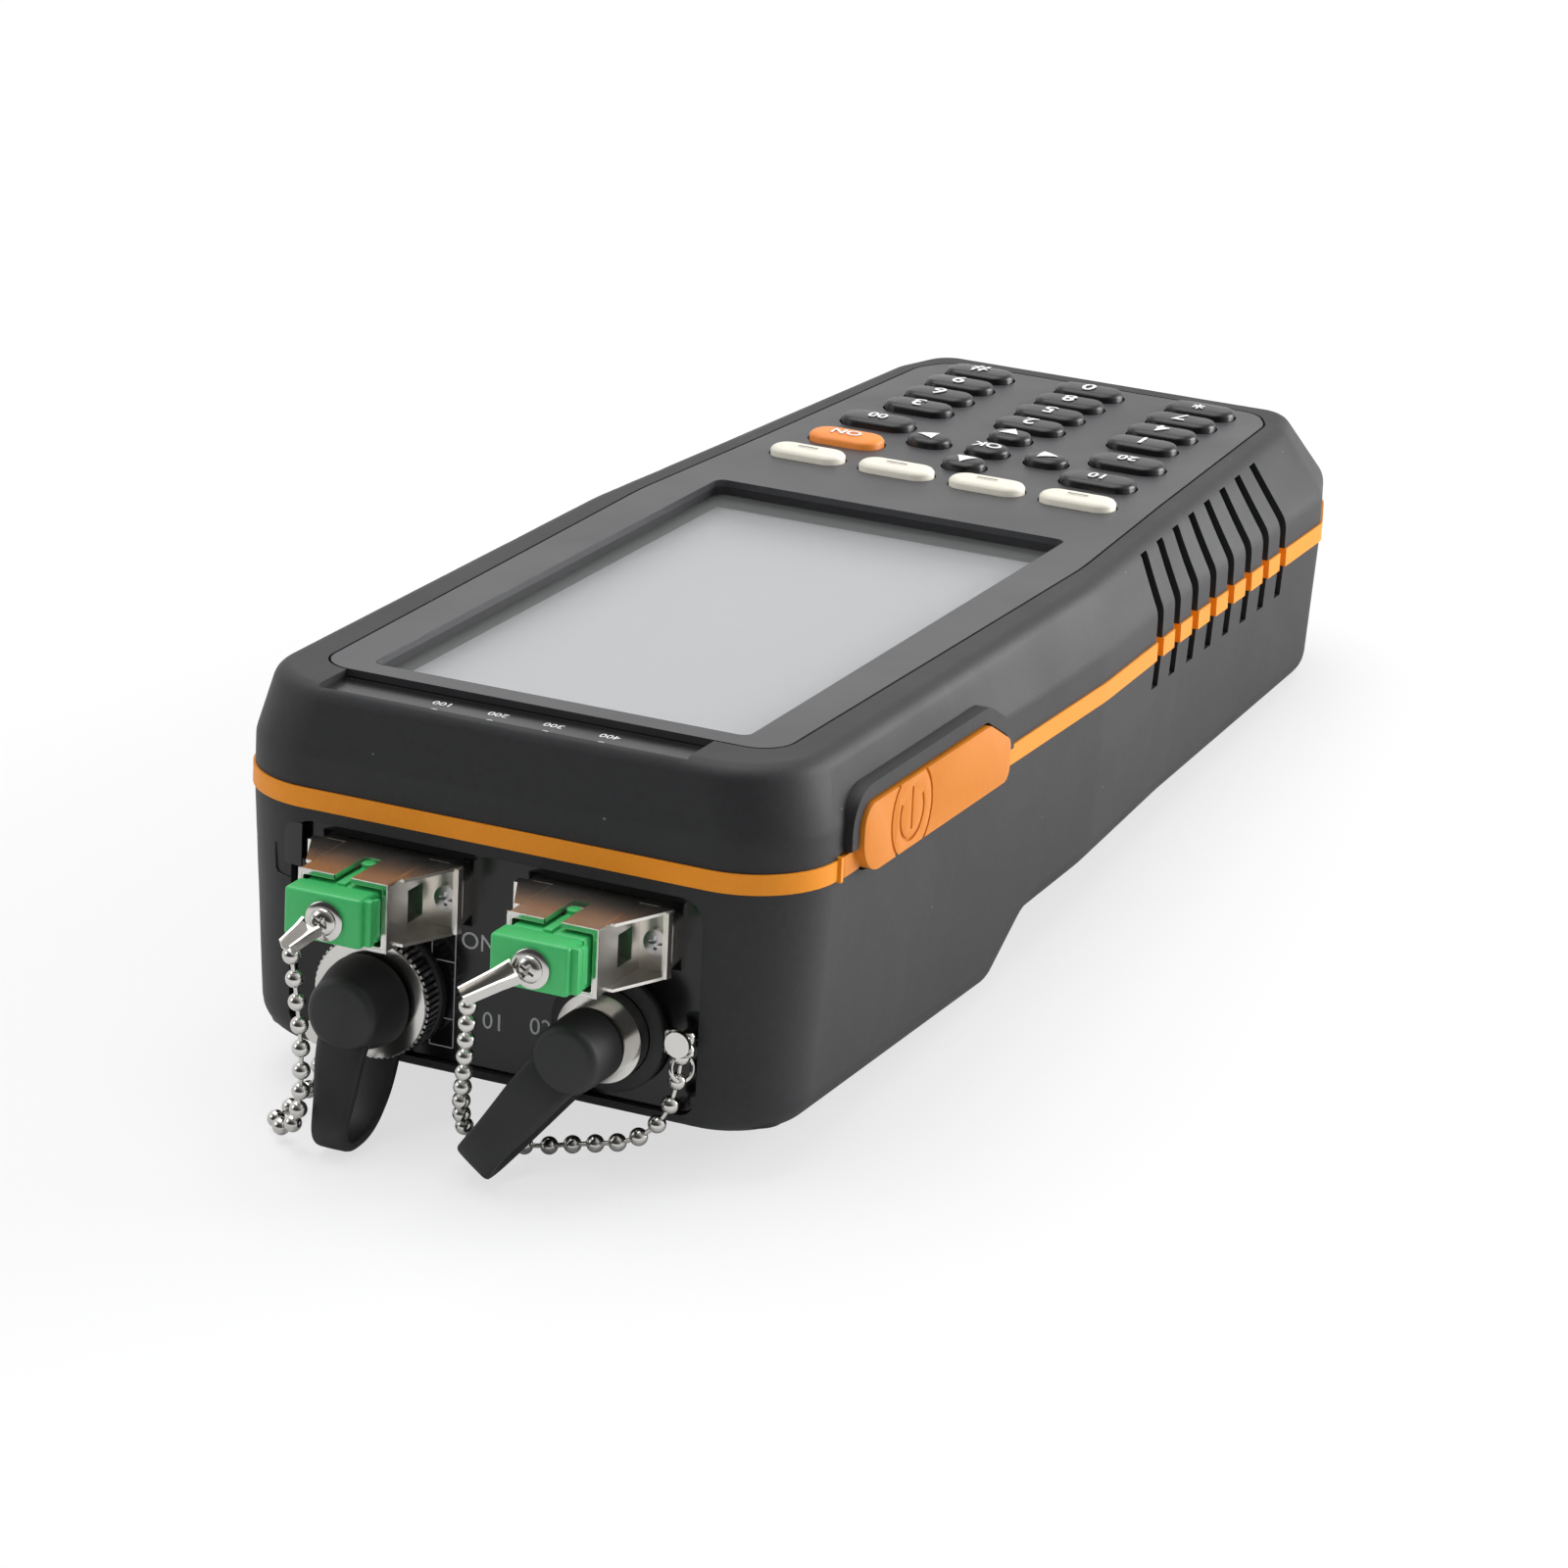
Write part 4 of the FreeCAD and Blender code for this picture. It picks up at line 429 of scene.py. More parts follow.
def linked(name, data):
    """An object in the scene that holds the data."""
    obj = bpy.data.objects.new(name, data)
    scene.collection.objects.link(obj)
    return obj


def shade(mesh, angle):
    """Smooth shading that keeps edges sharper than the angle."""
    mesh.shade_smooth()
    if angle is not None:
        mesh.set_sharp_from_angle(angle=math.radians(angle))


def piece(name, made, body, material, replaces=(), angle=35, shaded=False):
    """Puts a finished form or mesh in the scene on its body."""
    mesh = made.mesh(name) if isinstance(made, Form) else made
    if not shaded:
        shade(mesh, angle)
    if material is not None:
        mesh.materials.clear()
        mesh.materials.append(material)
    obj = linked(name, mesh)
    if body:
        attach(obj, body)
    if replaces:
        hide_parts(*replaces)
    return obj


def baked(obj):
    """The mesh that an object's modifiers make; the object goes."""
    bpy.context.view_layer.update()
    graph = bpy.context.evaluated_depsgraph_get()
    mesh = bpy.data.meshes.new_from_object(obj.evaluated_get(graph), preserve_all_data_layers=True,
                                           depsgraph=graph)
    bpy.data.objects.remove(obj)
    return mesh


def carved(form, *cutters, bevel=0.0):
    """A form's mesh with other forms cut out, still in case axes, with its edges broken."""
    host = linked("host", form.mesh("host", lay=False))
    tools = []
    for cutter in cutters:
        tool = linked("tool", cutter.mesh("tool", lay=False))
        step = host.modifiers.new("cut", "BOOLEAN")
        step.operation = "DIFFERENCE"
        step.solver = "EXACT"
        step.object = tool
        tools.append(tool)
    if bevel:
        step = host.modifiers.new("edges", "BEVEL")
        step.width = bevel
        step.segments = 2
        step.limit_method = "ANGLE"
        step.angle_limit = math.radians(40)
    mesh = baked(host)
    for tool in tools:
        bpy.data.objects.remove(tool)
    return mesh


def laid(mesh):
    """A mesh made in case axes, moved to the row frame."""
    mesh.transform(LAY)
    return mesh


# Faces that turn by less than this are one flat wall. A broad wall and a face with no width are told by
# their areas, in square metres.
FLAT_ANGLE = math.radians(0.4)
BROAD_WALL = 80e-6
SLIVER = 1e-11
# How closely a wall is sampled, in metres, and how far a sample may face away and still count.
SAMPLE_STEP = 0.00144
SAME_SIDE = math.cos(math.radians(38))
# How near two corners of a CAD mesh lie when they are one, in metres.
SAME_CORNER = 2e-6


def sampled_wall(bm):
    """Points spread evenly over a wall, each with the direction and area that it stands for."""
    points, pushes = [], []
    for face in bm.faces:
        waiting = [tuple(v.co for v in face.verts)]
        while waiting:
            a, b, c = waiting.pop()
            sides = ((b - c).length, (c - a).length, (a - b).length)
            longest = max(sides)
            if longest > SAMPLE_STEP:
                if sides[0] == longest:
                    a, b, c = b, c, a
                elif sides[1] == longest:
                    a, b, c = c, a, b
                middle = (a + b) / 2
                waiting += [(a, middle, c), (middle, b, c)]
            else:
                points.append((a + b + c) / 3)
                pushes.append(face.normal * (b - a).cross(c - a).length)
    tree = KDTree(len(points))
    for index, point in enumerate(points):
        tree.insert(point, index)
    tree.balance()
    return tree, pushes


def even_normals(mesh, angle, reach=0.0):
    """Corner normals in which a whole flat wall outweighs the strips of the rounding beside it.

    With a reach, every other corner takes the mean direction of the wall round it.
    """
    bm = bmesh.new()
    bm.from_mesh(mesh)
    bm.faces.ensure_lookup_table()
    owner = list(range(len(bm.faces)))

    def root(index):
        """The first face of the flat wall that a face belongs to."""
        while owner[index] != index:
            owner[index] = owner[owner[index]]
            index = owner[index]
        return index

    for edge in bm.edges:
        if len(edge.link_faces) == 2 and edge.calc_face_angle(1.0) < FLAT_ANGLE:
            owner[root(edge.link_faces[0].index)] = root(edge.link_faces[1].index)
    wall = {}
    for face in bm.faces:
        wall[root(face.index)] = wall.get(root(face.index), Vector()) + face.normal * face.calc_area()
    broad = {index for index, area in wall.items() if area.length > BROAD_WALL}
    if reach:
        tree, pushes = sampled_wall(bm)
    near = math.cos(math.radians(angle))
    normals = []
    for face in bm.faces:
        own = root(face.index)
        for loop in face.loops:
            walls = {root(f.index) for f in loop.vert.link_faces
                     if f is face or (f.calc_area() > SLIVER and f.normal.dot(face.normal) > near)}
            if own in broad:
                walls -= broad - {own}
            total = sum((wall[index] for index in walls), Vector())
            if reach and not walls & broad:
                along = total.normalized()
                total = along * SLIVER
                for _, index, gap in tree.find_range(loop.vert.co, reach):
                    if pushes[index].dot(along) > SAME_SIDE * pushes[index].length:
                        total += pushes[index] * (1 - gap / reach)
            normals.append(total.normalized())
    bm.free()
    mesh.normals_split_custom_set(normals)


def own_shape(node):
    """A CAD node's own shape, with the corners that its triangles share joined."""
    form = Form()
    form.bm.from_mesh(frame["nodes"][node].data)
    bmesh.ops.remove_doubles(form.bm, verts=form.bm.verts, dist=SAME_CORNER)
    return form


def smoothed(node, material, angle=28, reach=0.0):
    """A CAD node's own shape, shaded so that its curved walls look smooth."""
    form = own_shape(node)
    mesh = bpy.data.meshes.new(node)
    form.bm.to_mesh(mesh)
    form.bm.free()
    shade(mesh, angle)
    even_normals(mesh, angle, reach)
    piece(f"{node}_skin", mesh, frame["nodes"][node]["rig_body"], material, replaces=[node],
          shaded=True)


CORNER_STEPS = 6


def rounded_outline(middle, size, radius, height, inset=0.0):
    """Points round a rounded rectangle that lies in the face."""
    half_x, half_y = size[0] / 2 - inset, size[1] / 2 - inset
    radius = max(0.02, min(radius - inset, half_x - 0.01, half_y - 0.01))
    points = []
    for turn_at, (side_x, side_y) in enumerate(((1, 1), (-1, 1), (-1, -1), (1, -1))):
        for step in range(CORNER_STEPS + 1):
            angle = math.pi / 2 * (turn_at + step / CORNER_STEPS)
            points.append(Vector((middle[0] + side_x * (half_x - radius) + radius * math.cos(angle),
                                  middle[1] + side_y * (half_y - radius) + radius * math.sin(angle), height)))
    return points


def bent_line(points, step=0.4):
    """A quadratic spline through a route's runs, as evenly close points."""
    points = [Vector(p) for p in points]
    knots = [points[0]] + [(a + b) / 2 for a, b in zip(points[1:-2], points[2:-1])] + [points[-1]]
    line = []
    for start, bend, end in zip(knots, points[1:-1], knots[1:]):
        count = max(2, math.ceil(((bend - start).length + (end - bend).length) / step))
        for i in range(count):
            t = i / count
            line.append(start * (1 - t) ** 2 + bend * (2 * t * (1 - t)) + end * t * t)
    return line + [knots[-1]]


# ---------------------------------------------------------------- Geometry Nodes


def geometry_tree(name, numbers):
    """A geometry tree with named sizes; returns the tree, its inputs and the socket identifiers."""
    tree = bpy.data.node_groups.new(name, "GeometryNodeTree")
    tree.interface.new_socket("Geometry", in_out="INPUT", socket_type="NodeSocketGeometry")
    identifiers = {}
    for key, value in numbers.items():
        kind = "NodeSocketInt" if isinstance(value, int) else "NodeSocketFloat"
        socket = tree.interface.new_socket(key, in_out="INPUT", socket_type=kind)
        socket.default_value = value
        identifiers[key] = socket.identifier
    tree.interface.new_socket("Geometry", in_out="OUTPUT", socket_type="NodeSocketGeometry")
    return tree, add(tree, "NodeGroupInput"), identifiers


def close_tree(tree, last, material):
    """Ends a tree in real geometry with its material."""
    real = add(tree, "GeometryNodeRealizeInstances")
    coloured = add(tree, "GeometryNodeSetMaterial")
    coloured.inputs["Material"].default_value = material
    out = add(tree, "NodeGroupOutput")
    join(tree, (last, real.inputs[0]), (real.outputs[0], coloured.inputs[0]),
         (coloured.outputs[0], out.inputs[0]))


def grown(tree, identifiers, host_mesh, sizes):
    """The plain mesh that a tree makes from a host mesh."""
    host = linked("host", host_mesh)
    step = host.modifiers.new("grow", "NODES")
    step.node_group = tree
    for key, value in sizes.items():
        step[identifiers[key]] = value
    return baked(host)


def ball_chain_tree():
    """Balls at an even pitch along a line, with the wire that joins them."""
    tree, given, ids = geometry_tree("ball_chain", {"Ball": 0.0012, "Pitch": 0.0033, "Wire": 0.0003})
    line = add(tree, "GeometryNodeMeshToCurve")
    even = add(tree, "GeometryNodeResampleCurve", mode="LENGTH")
    ball = add(tree, "GeometryNodeMeshIcoSphere", Subdivisions=3)
    put = add(tree, "GeometryNodeInstanceOnPoints")
    round_wire = add(tree, "GeometryNodeCurvePrimitiveCircle", Resolution=8)
    wire = add(tree, "GeometryNodeCurveToMesh")
    all_parts = add(tree, "GeometryNodeJoinGeometry")
    join(tree, (given.outputs["Geometry"], line.inputs[0]), (line.outputs[0], even.inputs["Curve"]),
         (given.outputs["Pitch"], even.inputs["Length"]), (given.outputs["Ball"], ball.inputs["Radius"]),
         (even.outputs[0], put.inputs["Points"]), (ball.outputs[0], put.inputs["Instance"]),
         (given.outputs["Wire"], round_wire.inputs["Radius"]), (line.outputs[0], wire.inputs["Curve"]),
         (round_wire.outputs[0], wire.inputs["Profile Curve"]), (put.outputs[0], all_parts.inputs[0]),
         (wire.outputs[0], all_parts.inputs[0]))
    close_tree(tree, all_parts.outputs[0], BRIGHT_NICKEL)
    return tree, ids


# ---------------------------------------------------------------- the two ball chains

CHAIN_BALL = 0.0024
CHAIN_PITCH = 0.0033
CHAIN_WIRE = 0.0003
CHAIN_LEFT = [
    (-18.5, -110.2, 30.3), (-18.3, -109.0, 21.7), (-18.8, -107.9, 11.6), (-21.6, -105.2, 2.8),
    (-27.2, -102.4, 1.4), (-26.4, -96.6, 1.6), (-24.7, -93.2, 4.6), (-24.4, -92.4, 9.4),
]
CHAIN_RIGHT = [
    (7.0, -111.1, 29.0), (4.4, -107.2, 19.0), (0.4, -101.8, 8.4), (-0.6, -97.0, 2.4), (6.0, -94.0, 1.5),
    (14.2, -93.6, 3.6), (20.8, -94.0, 5.4), (25.0, -93.6, 9.0), (26.8, -92.8, 13.7), (27.1, -92.2, 18.1),
]
CHAIN_TREE, CHAIN_SIZES = ball_chain_tree()


def ball_chain(name, route, node):
    """A free ball chain from its plug's lug to its post on the plate."""
    line = [p * MM for p in bent_line(route)]
    host = bpy.data.meshes.new("route")
    host.from_pydata([tuple(p) for p in line], [(i, i + 1) for i in range(len(line) - 1)], [])
    mesh = grown(CHAIN_TREE, CHAIN_SIZES, host,
                 {"Ball": CHAIN_BALL / 2, "Pitch": CHAIN_PITCH, "Wire": CHAIN_WIRE})
    chain = piece(name, mesh, None, BRIGHT_NICKEL, replaces=[node], angle=None)
    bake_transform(chain)


ball_chain("ball_chain_left", CHAIN_LEFT, "plug_chain_left")
ball_chain("ball_chain_right", CHAIN_RIGHT, "plug_chain_right")

# ---------------------------------------------------------------- printed marks

PRINT_THICK = 0.02


def flat_words(words, size, bold=0.0):
    """Plain words as a thin closed mesh in their own plane, centred, in millimetres."""
    curve = bpy.data.curves.new("words", "FONT")
    curve.body = words
    curve.size = size
    curve.align_x = "CENTER"
    curve.align_y = "CENTER"
    curve.extrude = PRINT_THICK
    curve.offset = bold
    curve.resolution_u = 3
    return baked(linked("words", curve))


# Words on the face read along -X with their top toward the ports; words on the plate read along +X.
ON_FACE = Matrix(((-1, 0, 0, 0), (0, -1, 0, 0), (0, 0, 1, 0), (0, 0, 0, 1)))
ON_PLATE = Matrix(((1, 0, 0, 0), (0, 0, -1, 0), (0, 1, 0, 0), (0, 0, 0, 1)))


def joined(base, marks):
    """One mesh of a base and its marks, which take the second material."""
    bm = bmesh.new()
    bm.from_mesh(base)
    count = len(bm.faces)
    bm.from_mesh(marks)
    bm.faces.ensure_lookup_table()
    for face in bm.faces[count:]:
        face.material_index = 1
    mesh = bpy.data.meshes.new(base.name)
    bm.to_mesh(mesh)
    bm.free()
    return mesh


# ---------------------------------------------------------------- case, band, panel and screen

HOUSING_REACH = 0.0018
for node in ("upper_housing", "lower_housing"):
    smoothed(node, HOUSING, reach=HOUSING_REACH)
for node, material, slot in (
        ("trim_band", ORANGE, "orange_rubber"), ("face_panel", PANEL, "grey_panel"),
        ("battery_cover", HOUSING, "black_housing"), ("case_screws", STEEL, "screw_steel"),
        ("display_lens", CLEAR, "lens_glass"), ("lcd_module", SCREEN_FRAME, "screen_module"),
        ("keypad_mat", MAT_RUBBER, "rubber_mat"), ("main_board", BOARD_GREEN, "circuit_board"),
        ("optical_module", MODULE, "module_metal"), ("battery_pack", BATTERY, "battery_wrap"),
        ("led_pipes", PIPE, "light_pipe"), ("adapter_screws", STEEL, "screw_steel"),
        ("meter_port", BRIGHT_NICKEL, "port_chrome"), ("fault_port", BRIGHT_NICKEL, "port_chrome"),
        ("fault_laser", MODULE, "module_metal"), ("usb_socket", STEEL, "socket_metal"),
        ("dc_jack", SOCKET_BLACK, "socket_plastic"), ("chain_anchor", BRIGHT_NICKEL, "chain_nickel")):
    smoothed(node, material)

GLASS_TOP = case_box("lcd_module")[1].z
PICTURE_LOW, PICTURE_HIGH = (-26.9, 14.3), (24.0, 115.7)
picture = Form().block((*PICTURE_LOW, GLASS_TOP), (*PICTURE_HIGH, GLASS_TOP + 0.1))
piece("screen_picture_area", picture, "root", SCREEN_GREY)

TRAY_LOW, TRAY_HIGH = (-28.3, 2.7), (24.0, 9.8)
TRAY_FLOOR = -1.2
FIRST_LIGHT, LIGHT_PITCH = -12.8, 7.95
tray = Form().block((*TRAY_LOW, TRAY_FLOOR), (*TRAY_HIGH, TRAY_FLOOR + 0.08))
piece("light_window", tray, "root", BLACK_TRAY_AND_NOTCH_SHADE)
labels = Form()
for index, words in enumerate(("100", "200", "300", "400")):
    x = FIRST_LIGHT + LIGHT_PITCH * index
    labels.take(flat_words(words, 1.9), Matrix.Translation((x, 7.2, TRAY_FLOOR + 0.11)) @ ON_FACE)
    labels.block((x - 0.2, 3.6, TRAY_FLOOR + 0.05), (x + 0.9, 4.1, TRAY_FLOOR + 0.12))
piece("light_labels", labels, "root", WHITE_INK)

# ---------------------------------------------------------------- keys

KEY_MARKS = {"key_0": "0", "key_star": "*", "key_hash": "#", "key_enter": "OK", "key_power": "ON",
             "key_back": "00", "key_menu": "10", "key_start": "20",
             **{f"key_{n}": str(n) for n in range(1, 10)}}


def arrow(way, size):
    """A filled triangle that points along a direction in the face."""
    way = Vector((*way, 0)).normalized()
    across = Vector((-way.y, way.x, 0))
    corners = [way * size, -way * size * 0.5 + across * size * 0.8, -way * size * 0.5 - across * size * 0.8]
    form = Form()
    form.stack([[c + Vector((0, 0, z)) for c in corners] for z in (-PRINT_THICK, PRINT_THICK)])
    bmesh.ops.subdivide_edges(form.bm, edges=form.bm.edges[:], cuts=3, use_grid_fill=True)
    return form.mesh("arrow", lay=False)


ARROWS = {"key_left": (1, 0), "key_right": (-1, 0), "key_up": (0, -1), "key_down": (0, 1)}
# A cap's flange under the panel, and how far its crown stands over its own edge.
FLANGE_WIDE, FLANGE_THICK = 0.5, 1.0
CROWN = 0.28
CROWN_DROP = 0.16
# How far the top's rings come in from the cap's wall, and how far they lie under its highest level.
TOP_EDGE = 0.12
TOP_RINGS = ((0.1, 0.45), (0.3, 0.24), (0.55, 0.14), (0.9, TOP_EDGE), (1.4, TOP_EDGE), (1.9, TOP_EDGE),
             (2.3, TOP_EDGE))
MARK_LIFT = 0.1
LETTER, TWO_LETTERS, LETTER_BOLD, ARROW = 4.2, 3.0, 0.06, 1.9


def key_cap(node, material):
    """A key with a softly domed top and a plain mark printed on it."""
    low, high = case_box(node)
    middle = ((low.x + high.x) / 2, (low.y + high.y) / 2)
    foot = (high.x - low.x, high.y - low.y)
    size = (foot[0] - 2 * FLANGE_WIDE, foot[1] - 2 * FLANGE_WIDE)
    radius = size[1] * 0.48

    def dome(x, y):
        """How high the crowned top stands over its own edge."""
        return CROWN * (1 - ((x - middle[0]) / size[0] * 2) ** 2) * (1 - ((y - middle[1]) / size[1] * 2) ** 2)

    rings = [rounded_outline(middle, foot, radius + FLANGE_WIDE, low.z),
             rounded_outline(middle, foot, radius + FLANGE_WIDE, low.z + FLANGE_THICK),
             rounded_outline(middle, size, radius, low.z + FLANGE_THICK),
             rounded_outline(middle, size, radius, high.z - 0.75)]
    for inset, drop in TOP_RINGS:
        ring = rounded_outline(middle, size, radius, high.z - drop, inset)
        for point in ring:
            point.z += dome(point.x, point.y) - CROWN_DROP
        rings.append(ring)
    cap = Form().stack(rings).mesh(node, lay=False)
    place = Matrix.Translation((*middle, high.z - TOP_EDGE - CROWN_DROP + MARK_LIFT))
    if node in ARROWS:
        mark = arrow(ARROWS[node], ARROW)
    elif node in KEY_MARKS:
        words = KEY_MARKS[node]
        mark = flat_words(words, TWO_LETTERS if len(words) > 1 else LETTER, LETTER_BOLD)
        place = place @ ON_FACE
    else:
        mark = Form().block((-1.6, -0.12, -PRINT_THICK), (1.6, 0.12, PRINT_THICK)).mesh("bar", lay=False)
    mark.transform(place)
    for vertex in mark.vertices:
        vertex.co.z += dome(vertex.co.x, vertex.co.y)
    mesh = laid(joined(cap, mark))
    mesh.materials.append(material)
    mesh.materials.append(DARK_INK if material is CREAM else WHITE_INK)
    piece(f"{node}_cap", mesh, frame["nodes"][node]["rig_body"], None, replaces=[node])


for name in sorted(n for n in frame["nodes"] if n.startswith("key_")):
    if name.startswith("key_soft"):
        key_cap(name, CREAM)
    elif name == "key_power":
        key_cap(name, ORANGE_KEY)
    else:
        key_cap(name, BLACK_KEY)

# ---------------------------------------------------------------- end plate and its marks

smoothed("end_plate", GLOSS_BLACK)
PLATE_FACE = case_box("end_plate")[0].y
INK_AT = PLATE_FACE - PRINT_THICK
marks = Form()
for words, x, z in (("ON", -3.6, -30.0), ("01", -1.2, -40.3), ("02", 5.6, -39.7)):
    marks.take(flat_words(words, 3.3), Matrix.Translation((x, INK_AT, z)) @ ON_PLATE)
# A printed scale: an upright frame with two lines across it.
LINE = 0.14
SCALE_LEFT, SCALE_RIGHT, SCALE_LOW, SCALE_HIGH = -10.4, -7.0, -45.1, -29.4
for left, bottom, right, top in [(x, SCALE_LOW, x + LINE, SCALE_HIGH) for x in (SCALE_LEFT, SCALE_RIGHT)] + [
        (SCALE_LEFT, z, SCALE_RIGHT + past, z + LINE)
        for z, past in ((SCALE_HIGH, 0), (SCALE_LOW, LINE), (-33.4, 0), (-41.2, 0))]:
    marks.block((left, INK_AT - PRINT_THICK, bottom), (right, INK_AT + PRINT_THICK, top))
piece("plate_marks", marks, "root", FAINT_INK)

# ---------------------------------------------------------------- wrist strap notch in the front wall, with its recess as painted shade

CASE_HALF = 40.9
FRONT_CORNER = 12.0
# Points along the notch, each with its lowest and highest level, and the moulded line that runs round it.
NOTCH = ((-31.6, -23.6, -20.2), (-31.3, -24.0, -18.9), (-30.6, -24.0, -18.3), (-29.6, -24.0, -18.2),
         (-28.9, -24.0, -18.2))
NOTCH_LINE = [(-33.3, -21.8), (-33.2, -23.6), (-33.1, -25.0), (-32.6, -25.7), (-31.6, -25.9), (-30.8, -25.9)]
LINE_HALF = 0.09


def front_wall(x):
    """Where the front wall's surface lies on the left, round its corner."""
    past = max(0.0, -x - (CASE_HALF - FRONT_CORNER))
    return FRONT_CORNER - math.sqrt(FRONT_CORNER ** 2 - past ** 2)


# The notch and its moulded line are thin near-black sheets flush with the wall: painted shade of the recess
# and of the groove round it.
notch = Form().stack([[Vector((x, front_wall(x) + deep, z))
                       for deep, z in ((-0.03, low), (-0.03, high), (0.3, high), (0.3, low))]
                      for x, low, high in NOTCH])
outline = Form()
for first, last in zip(NOTCH_LINE, NOTCH_LINE[1:]):
    way = Vector((last[0] - first[0], 0, last[1] - first[1])).normalized()
    off = Vector((-way.z, 0, way.x)) * LINE_HALF
    outline.stack([[Vector((x, front_wall(x) + deep, z)) + off * side
                    for side, deep in ((1, -0.02), (-1, -0.02), (-1, 0.2), (1, 0.2))]
                   for x, z in (first, last)])
outline.take(notch.mesh("notch", lay=False))
piece("wrist_strap_notch_painted_shade", outline, "root", BLACK_TRAY_AND_NOTCH_SHADE)

# ---------------------------------------------------------------- fibre adapters and their plugs


PORT = {side: centre_of(f"sc_adapter_{side}") for side in ("left", "right")}
BOX_FRONT = case_box("sc_adapter_left")[0].y
SHELL_HALF = 6.4
SLOT_HALF = 1.2
EAR_HALF = 11.0
EAR_FACE = 0.05
WEB_THICK = 0.4
FLANGE_LIP = 0.75
RIM_PROUD = 0.05
RIM_WIDE = 0.7
RIM_BACK = 0.25
RIM_CHAMFER = 0.14


def adapter_webs(middle, low, high):
    """The gussets from an adapter's sides to its ears, and the lips that the ears' ends are turned to."""
    form = Form()
    for way in (-1, 1):
        corners = [(way * 6.3, BOX_FRONT + 3.2), (way * 7.1, BOX_FRONT + 3.2), (way * EAR_HALF, EAR_FACE),
                   (way * 6.3, EAR_FACE)][::-way]
        for z in (high - 0.45, low + 0.05):
            form.stack([[Vector((middle + x, y, level)) for x, y in corners] for level in (z, z + WEB_THICK)])
        lip = middle + way * 10.2
        form.block((lip, -1.2, low + 0.2), (lip + way * FLANGE_LIP, EAR_FACE, high - 0.2))
    return form


def mouth_rim(middle, low, high):
    """The bright cut edge round an adapter's mouth, open where the plug's rail goes in at the top."""
    side, bottom, top = SHELL_HALF + RIM_PROUD, low - RIM_PROUD, high + RIM_PROUD
    section = [(0, RIM_BACK), (0, RIM_CHAMFER - RIM_PROUD), (RIM_CHAMFER, -RIM_PROUD),
               (RIM_WIDE - RIM_CHAMFER, -RIM_PROUD), (RIM_WIDE, RIM_CHAMFER - RIM_PROUD),
               (RIM_WIDE, RIM_BACK)]
    corners = [(SLOT_HALF, top, 0, -1), (side, top, -1, -1), (side, bottom, -1, 1),
               (-side, bottom, 1, 1), (-side, top, 1, -1), (-SLOT_HALF, top, 0, -1)]
    return Form().stack([[Vector((middle + x + in_x * inward, BOX_FRONT + deep, z + in_z * inward))
                          for inward, deep in section] for x, z, in_x, in_z in corners])


for side, port in PORT.items():
    node = f"sc_adapter_{side}"
    smoothed(node, NICKEL)
    low, high = case_box(node)
    webs, rim = adapter_webs(port.x, low.z, high.z), mouth_rim(port.x, low.z, high.z)
    piece(f"adapter_webs_{side}", webs, "root", NICKEL)
    piece(f"adapter_rim_{side}", rim, "root", BRIGHT_NICKEL)


def folded_arm(form, start, end, up, half, wall, tall):
    """A trough of sheet metal between two points."""
    along = (end - start).normalized()
    across = along.cross(up).normalized()
    lift = across.cross(along).normalized()
    profile = [(-half, tall), (-half, 0), (half, 0), (half, tall), (half - wall, tall), (half - wall, wall),
               (-half + wall, wall), (-half + wall, tall)]
    form.stack([[point + across * a * share + lift * b for a, b in profile]
                for point, share in ((start, 1.25), (start + (end - start) * 0.35, 1.0), (end, 0.8))])


# A plug's moulded steps: opposite corners, across from the port's middle and back from the plug's front
# face, with the rounding of the edges and its segments.
PLUG_STEPS = (((-6.0, 0.0, -27.1), (5.0, 4.2, -20.5), 0.5, 3),
              ((4.6, 0.9, -26.9), (6.0, 2.3, -20.7), 0.3, 2),
              ((4.6, 2.8, -26.4), (5.7, 4.2, -21.2), 0.25, 2),
              ((-5.2, 4.0, -27.4), (5.2, 11.0, -20.6), 0.4, 2),
              ((-0.6, 3.9, -22.0), (0.6, 10.6, -20.15), 0.1, 2))
RAIL_PIN = [(0, 0.0), (0, 0.95), (0.5, 0.95), (0.6, 0.8), (0.6, 0.0)]
EYE_LEVEL = -24.0
EYELET = [(0.02, 1.4), (0.02, 2.55), (0.12, 2.65), (0.42, 2.65), (0.52, 2.5), (0.52, 1.4)]
SCREW_HEAD = [(0.3, 0.0), (0.3, 1.75), (0.75, 1.8), (1.1, 1.55), (1.35, 1.0), (1.42, 0.0)]
CROSS_LONG, CROSS_WIDE, CROSS_FLOOR = 1.05, 0.2, 0.95
CROSS_TURN = math.radians(28)
LUG_ENDS = {"left": Vector((-18.6, -5.6, -26.8)), "right": Vector((7.0, -5.6, -27.8))}


def cross_head(eye):
    """A screw's domed head with a cross sunk in it."""
    cross = [Form().block((eye.x - a, eye.y - 2, eye.z - b), (eye.x + a, eye.y - CROSS_FLOOR, eye.z + b))
             for a, b in ((CROSS_LONG, CROSS_WIDE), (CROSS_WIDE, CROSS_LONG))]
    turn = Matrix.Translation(eye) @ Matrix.Rotation(CROSS_TURN, 4, "Y") @ Matrix.Translation(-eye)
    for cutter in cross:
        bmesh.ops.transform(cutter.bm, matrix=turn, verts=cutter.bm.verts)
    return carved(Form().turned(SCREW_HEAD, eye, (0, -1, 0), 36), *cross)


